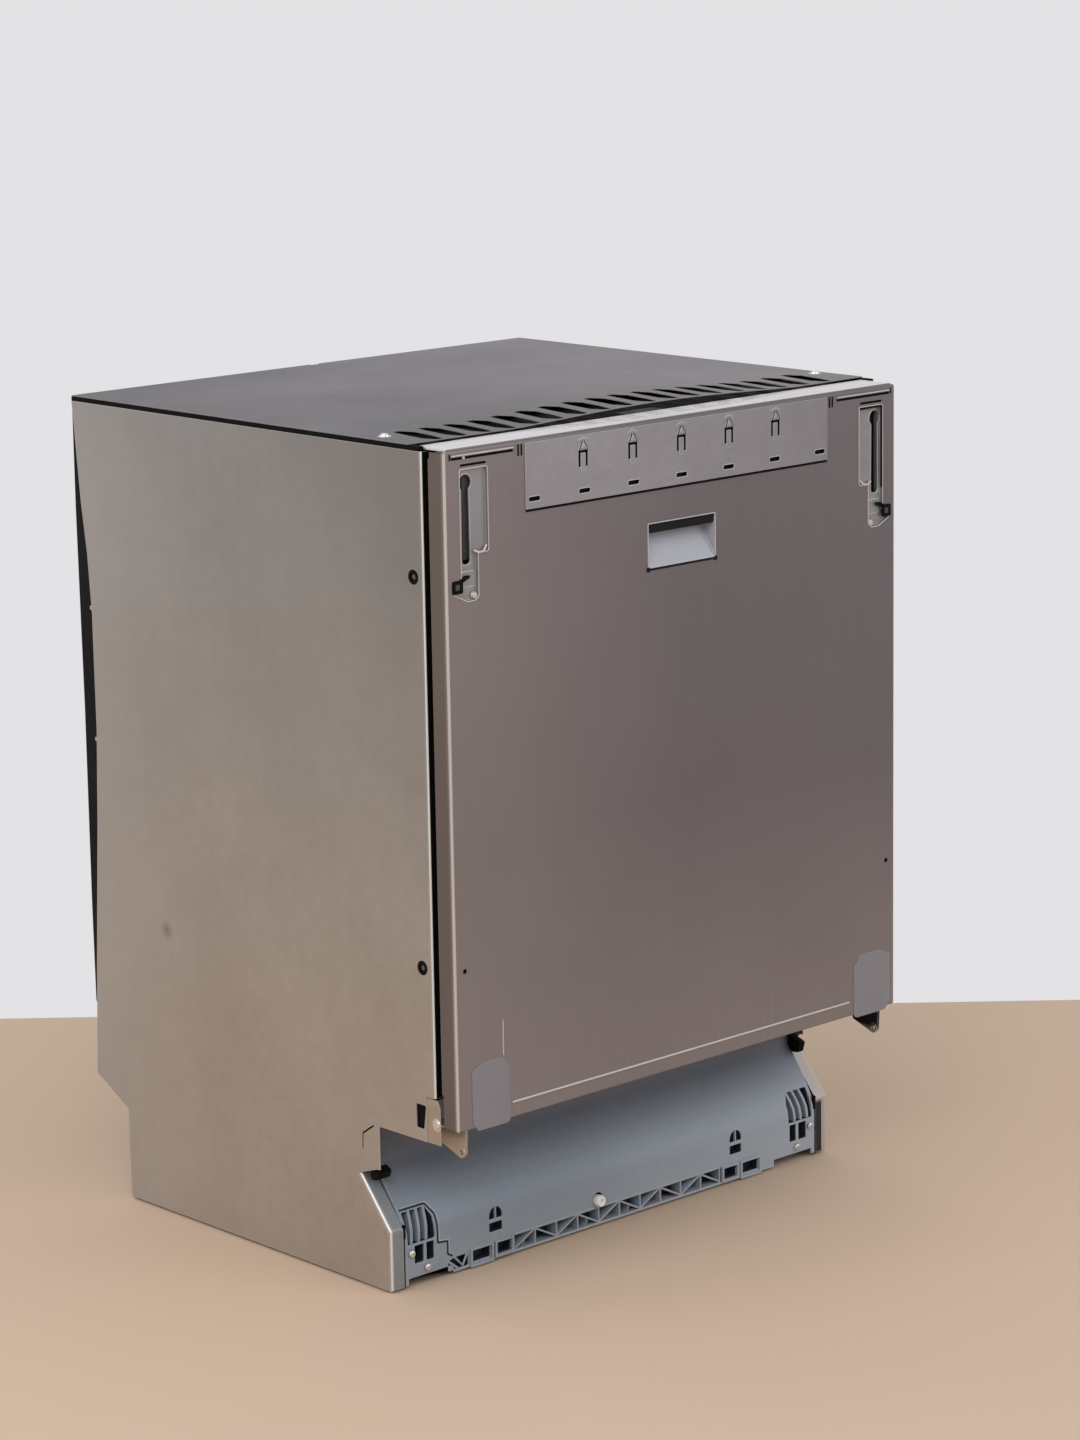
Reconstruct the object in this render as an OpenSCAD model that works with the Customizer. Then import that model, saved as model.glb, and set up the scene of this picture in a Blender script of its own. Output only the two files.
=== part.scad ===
// Built-in dishwasher: cabinet, drop-down door, racks, spray arms and feet.
// Lengths are millimetres. X runs to the right seen from the front,
// Y runs from the door front to the back, Z runs up from the floor.

/* [Cabinet] */
// Overall width
width = 598; // [596:1:600]
// Height at the corners with the feet screwed in
height = 815; // [813:1:818]
// Overall depth from the door front to the back of the top cover
depth = 550; // [548:1:554]

/* [Top cover] */
// Number of slots in the top cover
slot_count = 18; // [12:1:18]
// Distance between the slots
slot_pitch = 30; // [28:1:30]
// Rise of the cover's front edge in the middle
bow = 5.5; // [0:0.5:6]
// Turn of the slots in degrees
slot_lean = 6; // [0:1:10]

/* [Door] */
// Number of hook punches in the upper plate
hook_count = 5; // [3:1:5]
// Distance between the hook punches
hook_pitch = 63.6; // [60:0.1:66]

/* [Racks] */
// Gap between the long floor wires of the racks
wire_gap = 40; // [36:1:44]
// Radius of the rack wires
wire_r = 1.8; // [1.5:0.1:2]

/* [Base] */
// Number of cells in the lattice under the plinth panel
lattice_cells = 10; // [6:2:10]
// Width of one lattice cell
lattice_pitch = 29; // [27:1:29]

/* [Hidden] */

half_w = width / 2;
sheet = 1;
cover_sheet = 1.2;
cover_half = half_w - 1.5;
cover_front = 46;
cover_cols = 40;
cover_rows = 12;
bow_mid = 18;
bow_half = 185;
screw_x = 283;
screw_y = 96;
round_fn = 48;
wire_fn = 20;
fit_gap = 0.05;

// Hinge line of the door
hinge_y = 28;
hinge_z = 183;
pin_r = 4;
pin_in_x = 275;

// Tub
tub_x = 262;
tub_wall = 1;
tub_front = 33;
tub_back = 516.5;
tub_top = 795;
ledge_x = 225;
ledge_z = 204.5;
well_x = 76;
well_z = 188.5;

// Spray system
hub_y = 275;
sump_y = 235;
filter_y = 205;
filter_r = 28;
post_r = 6;
salt_x = -160;
salt_y = 182;

// Door
door_bottom = 180;
door_top = height - 2;
skin_y = 1;
door_x = 296.5;
strip_depth = 20;
lamp_back = 42;
lamp_x = 292;
lamp_thick = 5.5;
button_y = 27;
button_gap = 0.4;
power_x = -122;
program_x = 61;
start_x = 95;
fold_top = 803;
liner_y = 23.4;
dish_back = 36;

// Feet
foot_r = 20;
rod_r = 5;
foot_front_x = 255;
foot_front_y = 175;
adjuster_x = -29;
adjuster_z = 27;
foot_rear_y = 470;

// Lower rack
rack_x = 242;
rack_front = 64;
rack_back = 500;
lower_floor = 242;
lower_rim = 345;
wheel_r = 17;
wheel_z = 221.8;
wheel_front_y = 130;
wheel_rear_y = 430;
rim_r = 2.4;
panel_gap = 0.1;
axle_r = 3;
leg_x = 244.6;
wheel_x = 247.5;

// Upper rack
upper_floor = 484;
upper_rim = 590;
upper_x = 237;
roller_r = 8;
roller_z = 522.3;
shelf_z = 565;
shelf_hinge_x = 224;

module placed() {
    translate([0, -depth / 2, 0]) children();
}

module both_sides() {
    children();
    mirror([1, 0, 0]) children();
}

// A profile drawn as (back, up) and run along X from x0
module run_x(x0, length) {
    translate([x0, 0, 0])
        rotate([90, 0, 90])
            linear_extrude(length)
                children();
}

// A profile drawn as (right, up) and run from y0 towards the back
module run_y(y0, length) {
    translate([0, y0 + length, 0])
        rotate([90, 0, 0])
            linear_extrude(length)
                children();
}

module rod_x(x0, y, z, r, length, sides = round_fn) {
    translate([x0, y, z])
        rotate([0, 90, 0])
            cylinder(r = r, h = length, $fn = sides);
}

module rod_y(x, y0, z, r, length, sides = round_fn) {
    translate([x, y0, z])
        rotate([-90, 0, 0])
            cylinder(r = r, h = length, $fn = sides);
}

module rod_z(x, y, z0, r, length, sides = round_fn) {
    translate([x, y, z0])
        cylinder(r = r, h = length, $fn = sides);
}

module block(x0, y0, z0, x1, y1, z1) {
    translate([x0, y0, z0])
        cube([x1 - x0, y1 - y0, z1 - z0]);
}

// ---- cabinet ----

module side_outline() {
    polygon([[29, height], [29, 212], [22, 205], [22, 163], [110, 163], [110, 120],
        [130, 120], [137.6, 109], [97.5, 61], [97, 60], [97, 2], [500, 2],
        [500, 94.5], [depth, 122], [544, 231], [533, 386], [528, 480],
        [528, 600], [532, 660], [539, 712], [548, height]]);
}

module side_panel() {
    color("gainsboro")
        placed()
            difference() {
                union() {
                    run_x(half_w - sheet, sheet) side_outline();
                    block(half_w - 24, 50, height - 2.5, half_w - 0.5, depth - 10, height - 1.5);
                    block(half_w - 14, 29, 216, half_w - 0.5, 30, fold_top);
                    block(half_w - 16, 97, 2, half_w - 0.5, 98, 60.5);
                    run_x(half_w - 16, 15.5)
                        polygon([[97, 60], [98.2, 59.6], [137.9, 107.2], [137, 108.2]]);
                    block(half_w - 16, 498.8, 2, half_w - 0.5, 500, 92);
                    block(half_w - 14, 98, 2, half_w - 0.5, 499, 3);
                }
                rod_x(half_w - 3, 42.6, 694.7, 3.5, 6);
                rod_x(half_w - 3, 42.6, 330.4, 3.5, 6);
                rod_x(half_w - 3, hinge_y, hinge_z, 4.6, 6);
                block(half_w - 3, 42, 175, half_w + 3, 56, 198);
                run_x(half_w - 3, 6)
                    polygon([[117, 162.8], [133.2, 150.8], [134, 135], [135.4, 135],
                        [134.6, 151.6], [117.8, 164]]);
                rod_y(half_w - 11, 90, 48, 2.5, 15);
                rod_z(screw_x, screw_y, height - 10, 2, 12);
            }
}

module side_panel_right() {
    side_panel();
}

module side_panel_left() {
    mirror([1, 0, 0]) side_panel();
}

// Height of the cover's upper face: the front edge bows up between its fixings
function bow_across(x) = abs(x - bow_mid) < bow_half ? pow(cos(90 * (x - bow_mid) / bow_half), 1.2) : 0;
function bow_along(y) = y < 120 ? 1 : (y < 430 ? pow(cos(90 * (y - 120) / 310), 2) : 0);
function cover_z(x, y) = height + bow * bow_across(x) * bow_along(y);
function cover_x(i) = -cover_half + 2 * cover_half * i / cover_cols;
function cover_y(j) = cover_front + (depth - 3 - cover_front) * pow(j / cover_rows, 1.2);
function corner(i, j, under) = under * (cover_cols + 1) * (cover_rows + 1) + j * (cover_cols + 1) + i;

module cover_shell() {
    points = [for (under = [0, 1]) for (j = [0 : cover_rows]) for (i = [0 : cover_cols])
        [cover_x(i), cover_y(j), cover_z(cover_x(i), cover_y(j)) - under * cover_sheet]];
    upper = [for (j = [0 : cover_rows - 1]) for (i = [0 : cover_cols - 1]) for (k = [0, 1])
        k == 0 ? [corner(i, j, 0), corner(i, j + 1, 0), corner(i + 1, j + 1, 0)]
            : [corner(i, j, 0), corner(i + 1, j + 1, 0), corner(i + 1, j, 0)]];
    lower = [for (j = [0 : cover_rows - 1]) for (i = [0 : cover_cols - 1]) for (k = [0, 1])
        k == 0 ? [corner(i, j, 1), corner(i + 1, j + 1, 1), corner(i, j + 1, 1)]
            : [corner(i, j, 1), corner(i + 1, j, 1), corner(i + 1, j + 1, 1)]];
    front = [for (i = [0 : cover_cols - 1]) for (k = [0, 1])
        k == 0 ? [corner(i, 0, 0), corner(i + 1, 0, 0), corner(i + 1, 0, 1)]
            : [corner(i, 0, 0), corner(i + 1, 0, 1), corner(i, 0, 1)]];
    n = cover_rows;
    back = [for (i = [0 : cover_cols - 1]) for (k = [0, 1])
        k == 0 ? [corner(i + 1, n, 0), corner(i, n, 0), corner(i, n, 1)]
            : [corner(i + 1, n, 0), corner(i, n, 1), corner(i + 1, n, 1)]];
    left = [for (j = [0 : cover_rows - 1]) for (k = [0, 1])
        k == 0 ? [corner(0, j + 1, 0), corner(0, j, 0), corner(0, j, 1)]
            : [corner(0, j + 1, 0), corner(0, j, 1), corner(0, j + 1, 1)]];
    m = cover_cols;
    right = [for (j = [0 : cover_rows - 1]) for (k = [0, 1])
        k == 0 ? [corner(m, j, 0), corner(m, j + 1, 0), corner(m, j + 1, 1)]
            : [corner(m, j, 0), corner(m, j + 1, 1), corner(m, j, 1)]];
    polyhedron(points = points, faces = concat(upper, lower, front, back, left, right), convexity = 8);
}

module cover_slot() {
    linear_extrude(20)
        polygon([[-6, 29], [1, 29], [8, 15], [7.5, -11], [5, -27], [-1, -27], [-8, -13], [-7.5, 13]]);
}

module top_cover() {
    color("dimgray")
        placed()
            difference() {
                cover_shell();
                for (i = [0 : slot_count - 1])
                    translate([(i - (slot_count - 1) / 2) * slot_pitch, 81, height - 6])
                        rotate([0, 0, slot_lean])
                            cover_slot();
                block(4, depth - 7, height - 5, 16, depth, height + 5);
                both_sides() rod_z(screw_x, screw_y, height - 6, 2.2, 12);
            }
}

module cover_screws() {
    color("silver")
        placed()
            both_sides() {
                rod_z(screw_x, screw_y, height + 0.1, 4.5, 3);
                rod_z(screw_x, screw_y, height - 10, 1.9, 10.5);
            }
}

module rear_insulation() {
    color("black")
        placed()
            block(-half_w + 1.4, 517, 190, half_w - 1.4, depth - 0.4, 811);
}

module tub() {
    color("silver")
        placed()
            difference() {
                union() {
                    difference() {
                        run_y(tub_front, tub_back - tub_front)
                            polygon([[-tub_x - tub_wall, tub_top], [tub_x + tub_wall, tub_top],
                                [tub_x + tub_wall, ledge_z - tub_wall], [ledge_x, ledge_z - tub_wall],
                                [well_x, well_z - tub_wall], [-well_x, well_z - tub_wall],
                                [-ledge_x, ledge_z - tub_wall], [-tub_x - tub_wall, ledge_z - tub_wall]]);
                        run_y(tub_front - 5, tub_back - tub_wall - tub_front + 5)
                            polygon([[-tub_x, tub_top - tub_wall], [tub_x, tub_top - tub_wall],
                                [tub_x, ledge_z], [ledge_x, ledge_z], [well_x, well_z],
                                [-well_x, well_z], [-ledge_x, ledge_z], [-tub_x, ledge_z]]);
                    }
                    rod_z(0, hub_y, 777, 5, tub_top - 778);
                    rod_z(0, hub_y, 774.5, 8, 3);
                }
                rod_z(0, sump_y, 180, 70, 20);
                rod_z(salt_x, salt_y, 180, 30.4, 30);
            }
}

module tub_front_frame() {
    color("lightgray")
        placed()
            difference() {
                block(-276.5, 31.5, 198, 276.5, 33, 803);
                block(-tub_x, 30, 207, tub_x, 35, tub_top - tub_wall);
            }
}

module door_gasket() {
    color("dimgray")
        placed()
            difference() {
                block(-275.5, 25, 199, 275.5, 31.5, 802.5);
                block(-266, 24, 208, 266, 33, 792.5);
                difference() {
                    block(-272.5, 24, 202, 272.5, 28.5, 799.5);
                    block(-269, 23, 205, 269, 29, 796.5);
                }
            }
}

// Wall, lips and end stop, each a hair apart
module rail_channel() {
    block(260, 60, 512, tub_x, 500, 533);
    block(250, 60, 512, 260 - panel_gap, 500, 514);
    block(250, 60, 531, 260 - panel_gap, 500, 533);
    block(250, 498, 514 + panel_gap, 260 - panel_gap, 500, 531 - panel_gap);
}

module upper_rack_rails() {
    color("silver")
        placed()
            both_sides() rail_channel();
}

module base_tray() {
    color("slategray")
        placed()
            difference() {
                union() {
                    difference() {
                        block(-281, 141, 10, 281, 497, 180);
                        block(-278.5, 143.5, 13, 278.5, 494.5, 190);
                    }
                    both_sides() {
                        block(278.5, 150, 170, 281, 490, 203);
                        block(240, 150, 200, 280, 490, 203);
                        rod_z(foot_front_x, foot_front_y, 11, 11, 50);
                        for (y = [200, 300, 400])
                            block(240, y, 190, 280, y + 3, 201);
                    }
                    rod_z(adjuster_x, foot_rear_y, 11, 11, 50);
                    block(-60, 180, 12, -57, 480, 40);
                    block(57, 180, 12, 60, 480, 40);
                }
                both_sides() rod_z(foot_front_x, foot_front_y, 5, rod_r + 0.4, 60);
                rod_z(adjuster_x, foot_rear_y, 5, rod_r + 0.4, 60);
                rod_y(adjuster_x, 135, adjuster_z, 4.5, 12);
                rod_y(-190, 490, 60, 13.5, 10);
                rod_y(120, 490, 60, 11, 10);
                rod_y(220, 490, 60, 12, 10);
                both_sides() block(150, 260, 5, 210, 330, 20);
            }
}

module panel_profile() {
    polygon([[138, 160], [138, 118], [131, 108], [120, 92], [109, 74], [101, 60],
        [98, 52], [98, 4], [101, 4], [101, 51.5], [104, 59.2], [112, 72.8],
        [123, 90.6], [134, 106.8], [141, 117.2], [141, 160]]);
}

// One lattice cell: two triangular windows either side of a diagonal
module lattice_cell(rising) {
    x1 = lattice_pitch - 1.5;
    flip = rising ? 1 : 0;
    translate([flip * lattice_pitch, 0, 0])
        mirror([flip, 0, 0]) {
            run_y(90, 20) polygon([[1.5, 5.5], [1.5, 17.5], [x1 - 3, 5.5]]);
            run_y(90, 20) polygon([[4, 18.5], [x1, 18.5], [x1, 7]]);
        }
}

module fin_cuts() {
    for (x = [244, 256.5, 269])
        block(x, 90, 49, x + 8, 125, 73);
    block(242, 90, 24, 252, 125, 45);
    block(257, 90, 24, 266, 125, 45);
}

module arch_window() {
    block(-9, 90, 29, 9, 120, 39);
    difference() {
        union() {
            block(-9, 90, 42, 9, 120, 46);
            rod_y(0, 90, 46, 9, 30);
        }
        block(-1, 80, 41, 1, 130, 60);
        block(-12, 80, 30, 12, 130, 41.5);
    }
}

module plinth_panel() {
    color("slategray")
        placed()
            difference() {
                union() {
                    run_x(-281.5, 563) panel_profile();
                    block(-220, 98, 2, 220, 112, 6);
                    block(-220, 101, 19.5, 220, 112, 21.5);
                    both_sides() {
                        block(280, 101, 6, 281.5, 113, 50);
                        block(236, 100, 22, 238, 115, 76);
                    }
                }
                for (i = [0 : lattice_cells - 1])
                    translate([(i - lattice_cells / 2) * lattice_pitch, 0, 0])
                        lattice_cell(i % 2 == 0);
                both_sides() {
                    fin_cuts();
                    block(147, 90, 7, 167, 110, 18);
                    block(174, 90, 7, 199, 110, 18);
                    block(221, 90, 0, 276, 120, 9);
                    translate([168, 0, 0]) arch_window();
                }
                rod_y(adjuster_x, 90, adjuster_z, 6.5, 20);
            }
}

module plinth_screws() {
    color("silver")
        placed()
            both_sides() {
                rod_y(254, 95.5, 16, 3.8, 2.5);
                rod_y(273.5, 95.5, 34, 3.8, 2.5);
            }
}

module hinge_brackets() {
    color("tan")
        placed()
            both_sides() {
                run_x(297.1, 0.9)
                    difference() {
                        polygon([[23, 204], [23, 170], [34, 165], [64, 165], [64, 210], [29, 210]]);
                        translate([42, 175]) square([14, 23]);
                        translate([hinge_y, hinge_z]) circle(r = pin_r, $fn = round_fn);
                    }
                run_x(283.5, 14) polygon([[62.5, 165], [64, 165], [64, 210], [62.5, 210]]);
                run_x(283.5, 1.5) polygon([[62.5, 165], [140, 165], [140, 196], [62.5, 196]]);
            }
}

module hinge_pins() {
    color("white")
        placed()
            both_sides() rod_x(pin_in_x, hinge_y, hinge_z, pin_r, 298.8 - pin_in_x);
}

module sump() {
    color("dimgray")
        placed()
            difference() {
                union() {
                    rod_z(0, sump_y, 110, 66, 75);
                    rod_z(0, sump_y, 184, 74, 3);
                    rod_z(0, hub_y, 150, 12, 50);
                    rod_z(0, hub_y, 199, post_r, 32);
                    rod_z(0, hub_y, 229, 8.5, 3);
                }
                difference() {
                    rod_z(0, sump_y, 116, 62, 80);
                    rod_z(0, hub_y, 100, 12, 110);
                }
            }
}

module circulation_pump() {
    color("gray")
        placed() {
            rod_x(-20, 400, 82, 40, 130);
            rod_x(-34, 400, 82, 30, 15);
            rod_x(109, 400, 82, 26, 14);
            rod_z(-10, 400, 110, 16, 45);
        }
}

module drain_pump() {
    color("darkslategray")
        placed() {
            rod_x(90, 235, 70, 24, 70);
            rod_x(66, 235, 70, 18, 25);
            block(95, 215, 15, 120, 255, 50);
        }
}

module water_softener() {
    color("white")
        placed()
            difference() {
                union() {
                    block(-240, 205, 15, -90, 330, 180);
                    block(-225, 150, 60, -105, 206, 107);
                    rod_z(salt_x, salt_y, 100, 30, 106);
                }
                rod_z(salt_x, salt_y, 108, 26, 110);
            }
}

module inlet_valve() {
    color("white")
        placed()
            difference() {
                union() {
                    rod_y(-190, 480, 60, 13.2, 36);
                    block(-208, 455, 42, -172, 482, 80);
                    rod_y(-190, 497.4, 60, 17, 3);
                }
                rod_y(-190, 490, 60, 8, 40);
            }
}

module drain_spigot() {
    color("dimgray")
        placed()
            difference() {
                union() {
                    rod_y(120, 470, 60, 10, 66);
                    rod_y(120, 497.4, 60, 14, 3);
                }
                rod_y(120, 480, 60, 7.5, 70);
            }
}

module power_inlet() {
    color("black")
        placed()
            difference() {
                union() {
                    rod_y(220, 480, 60, 11.6, 20);
                    block(200, 497.2, 44, 240, 503, 76);
                }
                block(208, 492, 50, 232, 510, 70);
            }
}

module filter_plate() {
    color("silver")
        placed()
            difference() {
                rod_z(0, sump_y, 187.1, 69.5, 1.5);
                rod_z(0, filter_y, 180, filter_r + 0.4, 20);
                rod_z(0, hub_y, 180, 12.05, 20);
                for (a = [0 : 30 : 330])
                    translate([0, sump_y, 180])
                        rotate([0, 0, a])
                            translate([62, 0, 0])
                                cylinder(r = 2.5, h = 20, $fn = 24);
            }
}

module door_springs() {
    color("gray")
        placed()
            both_sides() {
                rod_y(271, 260, 150, 6, 150, 24);
                rod_y(271, 245, 150, 1.6, 16, 24);
                block(270, 409, 146, 278.2, 413, 154);
            }
}

module latch_catch() {
    color("black")
        placed()
            difference() {
                block(-24, 44.5, tub_top, 24, 64, 812);
                block(-16, 40, 802, 16, 58, 809.5);
            }
}

module rear_adjuster() {
    color("white")
        placed() {
            difference() {
                rod_y(adjuster_x, 92, adjuster_z, 6, 9);
                rod_y(adjuster_x, 88, adjuster_z, 2.5, 8, 6);
            }
            rod_y(adjuster_x, 100, adjuster_z, 4, 60);
        }
}

module salt_cap() {
    color("dimgray")
        placed() {
            rod_z(salt_x, salt_y, 206.3, 29, 4);
            rod_z(salt_x, salt_y, 190, 25.5, 17);
            block(salt_x - 24, salt_y - 3, 209, salt_x + 24, salt_y + 3, 213);
        }
}

module filter_cylinder() {
    color("lightgray")
        placed()
            difference() {
                union() {
                    rod_z(0, filter_y, 130, filter_r, 62);
                    rod_z(0, filter_y, 188.9, filter_r + 3, 2);
                    block(-20, filter_y - 2, 190, 20, filter_y + 2, 204);
                }
                rod_z(0, filter_y, 133, filter_r - 2, 54);
            }
}

// Spray arm with its hub on the Z axis and its floor at z = 0
module spray_arm(reach, thick, bore_r) {
    difference() {
        union() {
            linear_extrude(thick)
                polygon([[-reach + 14, -11], [-60, -19], [0, -26], [60, -19], [reach - 14, -11],
                    [reach - 4, -7], [reach - 4, 7], [reach - 14, 11], [60, 19], [0, 26],
                    [-60, 19], [-reach + 14, 11], [-reach + 4, 7], [-reach + 4, -7]]);
            cylinder(r = 22, h = thick + 1.5, $fn = round_fn);
        }
        translate([0, 0, -1]) cylinder(r = bore_r, h = thick + 4, $fn = round_fn);
        for (s = [-1, 1])
            for (x = [50, 95, 140, 180])
                if (x < reach - 10)
                    translate([s * x, s * 5, thick - 2])
                        cylinder(r = 1.6, h = 4, $fn = 16);
    }
}

module lower_spray_arm() {
    color("silver")
        placed()
            translate([0, hub_y, 214.5])
                spray_arm(218, 11, post_r + fit_gap);
}

module upper_spray_arm() {
    color("silver")
        placed()
            translate([0, hub_y, 447])
                spray_arm(200, 10, post_r + fit_gap);
}

module top_sprinkler() {
    color("lightgray")
        placed()
            difference() {
                union() {
                    rod_z(0, hub_y, 779, 42, 4);
                    rod_z(0, hub_y, 778, 14, 12);
                }
                rod_z(0, hub_y, 770, 5 + fit_gap, 30);
                for (a = [0 : 60 : 300])
                    translate([0, hub_y, 770])
                        rotate([0, 0, a])
                            translate([30, 0, 0])
                                cylinder(r = 1.8, h = 20, $fn = 16);
            }
}

module foot(x, y) {
    rod_z(x, y, 0, foot_r, 4);
    rod_z(x, y, 4, foot_r - 5, 4);
    rod_z(x, y, 8, rod_r, 72);
}

module foot_front_left() {
    color("dimgray") placed() foot(-foot_front_x, foot_front_y);
}

module foot_front_right() {
    color("dimgray") placed() foot(foot_front_x, foot_front_y);
}

module foot_rear() {
    color("dimgray") placed() foot(adjuster_x, foot_rear_y);
}

// ---- racks ----

// Flat grids of welded wires. Each ends a hair short of its neighbour.
module side_grid(x, y0, y1, z0, z1) {
    count = round((y1 - y0) / wire_gap);
    step = (y1 - y0 - 8) / count;
    for (z = [z0, (z0 + z1) / 2, z1])
        rod_y(x, y0, z, rim_r, y1 - y0, wire_fn);
    for (i = [0 : count])
        rod_z(x, y0 + 4 + i * step, z0 - 1, wire_r, z1 - z0 + 2, wire_fn);
}

module end_grid(half, y, z0, z1) {
    count = round(half * 2 / wire_gap);
    step = (half * 2 - 8) / count;
    for (z = [z0, (z0 + z1) / 2, z1])
        rod_x(-half, y, z, rim_r, half * 2, wire_fn);
    for (i = [0 : count])
        rod_z(-half + 4 + i * step, y, z0 - 1, wire_r, z1 - z0 + 2, wire_fn);
}

module floor_grid(half, y0, y1, z) {
    count = floor(half * 2 / wire_gap);
    step = (y1 - y0 - 8) / 7;
    for (i = [0 : count - 1])
        rod_y((i - (count - 1) / 2) * wire_gap, y0, z, wire_r, y1 - y0, wire_fn);
    for (j = [0 : 7])
        rod_x(-half, y0 + 4 + j * step, z - 3, wire_r, half * 2, wire_fn);
}

module wire_basket(half, y0, y1, floor_z, rim_z) {
    edge = rim_r + panel_gap;
    both_sides() side_grid(half, y0 - rim_r, y1 + rim_r, floor_z, rim_z);
    end_grid(half - edge, y0, floor_z, rim_z);
    end_grid(half - edge, y1, floor_z, rim_z);
    floor_grid(half - edge, y0 + edge, y1 - edge, floor_z);
}

module wheel_leg(y) {
    block(leg_x, y - 6, 215, leg_x + 1.4, y + 6, 244);
    block(leg_x, y - 30, 236, leg_x + 1.4, y + 34, 244);
    rod_x(leg_x, y, wheel_z, axle_r, 12.6);
    rod_x(wheel_x + 8.2, y, wheel_z, axle_r + 2, 1.6);
}

module lower_rack() {
    color("lightgray")
        placed() {
            wire_basket(rack_x, rack_front, rack_back, lower_floor, lower_rim);
            both_sides() {
                wheel_leg(wheel_front_y);
                wheel_leg(wheel_rear_y);
            }
            rod_x(-192, 410, lower_floor + 4.2, wire_r, 384, wire_fn);
            for (i = [-4 : 4])
                rod_z(i * wire_gap + wire_gap / 2 - 20, 410, lower_floor + 4, 1.6, 76, wire_fn);
        }
}

module wheel_pair(y) {
    both_sides()
        difference() {
            union() {
                rod_x(wheel_x, y, wheel_z, wheel_r, 8);
                rod_x(wheel_x - 1.2, y, wheel_z, 7, 2);
            }
            rod_x(240, y, wheel_z, axle_r + fit_gap, 20);
        }
}

module lower_wheels_front() {
    color("lightgray") placed() wheel_pair(wheel_front_y);
}

module lower_wheels_rear() {
    color("lightgray") placed() wheel_pair(wheel_rear_y);
}

module cutlery_basket() {
    color("gray")
        placed()
            difference() {
                block(64, 72, 246, 206, 136, 352);
                block(66, 74, 248, 110, 134, 360);
                block(112, 74, 248, 158, 134, 360);
                block(160, 74, 248, 204, 134, 360);
                for (z = [262 : 16 : 326])
                    for (x = [70, 116, 164]) {
                        block(x, 60, z, x + 36, 150, z + 8);
                    }
            }
}

module tine_row() {
    color("silver")
        placed() {
            rod_x(-196, 300, lower_floor + 8, 2, 252, wire_fn);
            for (i = [0 : 7])
                rod_z(-182 + i * 32, 300, lower_floor + 8, 1.6, 84, wire_fn);
        }
}

module upper_rack() {
    color("lightgray")
        placed() {
            wire_basket(upper_x, rack_front, rack_back, upper_floor, upper_rim);
            both_sides() {
                for (y = [wheel_front_y, wheel_rear_y]) {
                    block(upper_x + rim_r + 0.2, y - 30, 512, 241, y + 30, 533);
                    rod_x(240, y, roller_z, axle_r, 17.5);
                }
                for (y = [118, 418])
                    block(219, y, shelf_z - 4, 234.3, y + 3.5, shelf_z + 4);
            }
            both_sides() block(16, 280, 476, 24, 313.5, upper_floor);
        }
}

module roller_pair(y) {
    both_sides()
        difference() {
            rod_x(251, y, roller_z, roller_r, 6);
            rod_x(245, y, roller_z, axle_r + fit_gap, 20);
        }
}

module upper_rollers_front() {
    color("white") placed() roller_pair(wheel_front_y);
}

module upper_rollers_rear() {
    color("white") placed() roller_pair(wheel_rear_y);
}

module upper_feed_tube() {
    color("gray")
        placed() {
            block(-12, 275, 463, 12, 505, 476);
            rod_z(0, hub_y, 460, 16, 16);
            rod_z(0, hub_y, 446, post_r, 15);
            rod_z(0, hub_y, 442.5, 9, 3.5);
            block(-25, 504, 455, 25, 507, 479);
        }
}

module cup_shelf() {
    rod_y(shelf_hinge_x, 122, shelf_z, wire_r, 295.5, wire_fn);
    rod_y(150, 126, shelf_z, wire_r, 288, wire_fn);
    for (i = [0 : 6])
        rod_x(149, 128 + i * 47.3, shelf_z + 3, wire_r, shelf_hinge_x - 148, wire_fn);
}

module cup_shelf_right() {
    color("gray") placed() cup_shelf();
}

module cup_shelf_left() {
    color("gray") placed() mirror([1, 0, 0]) cup_shelf();
}

// ---- door ----

module pocket_shape() {
    translate([245, 717]) square([33, 78]);
    translate([260, 684]) square([18, 40]);
    translate([269, 684]) circle(r = 9, $fn = round_fn);
}

module outer_door_panel() {
    color("rosybrown")
        placed()
            difference() {
                union() {
                    block(-door_x, skin_y, door_bottom, door_x, skin_y + 1, door_top - 6);
                    block(-door_x, skin_y, door_bottom, door_x, strip_depth, door_bottom + 1);
                    both_sides() {
                        block(door_x - 1, skin_y, door_bottom, door_x, strip_depth, door_top - 6);
                        rod_z(239, skin_y + 0.4, 244, 1, 33, 24);
                        block(205, 0.3, door_top - 9, 290, 1.5, door_top - 7);
                    }
                    rod_x(-230, skin_y + 0.3, 195, 1.2, 460, 24);
                }
                block(-45.5, 0, 672.5, 45.5, 5, 716.5);
                both_sides() {
                    run_y(-1, 5) pocket_shape();
                    block(278, 2, 179, 283, 21, 182);
                    rod_y(284, -2, 332, 2.5, 6);
                }
                block(-190, -1, 753, 190, 5, 800);
            }
}

module inner_door_liner() {
    color("silver")
        placed()
            difference() {
                union() {
                    block(-292, liner_y, 193, 292, liner_y + 1.2, 803);
                    block(-255, liner_y, 214, 255, dish_back, 785);
                    block(-14, liner_y, 800, 14, liner_y + 1.2, 806.2);
                    block(-14, liner_y, 804.2, 14, 51, 806.2);
                }
                block(-253.5, liner_y - 3, 215.5, 253.5, dish_back - 1.5, 783.5);
                block(-42, 20, 448, 152, 50, 592);
            }
}

// A button's outline widened by gap, from z0 up to z1
module button_block(x, half, gap, z0, z1) {
    block(x - half - gap, button_y - 4.5 - gap, z0, x + half + gap, button_y + 4.5 + gap, z1);
}

module button_hole(x, half) {
    button_block(x, half, button_gap, door_top - 10, door_top + 5);
}

module button_cap(x, half) {
    button_block(x, half, 0, door_top - 4, door_top - 0.2);
}

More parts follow.
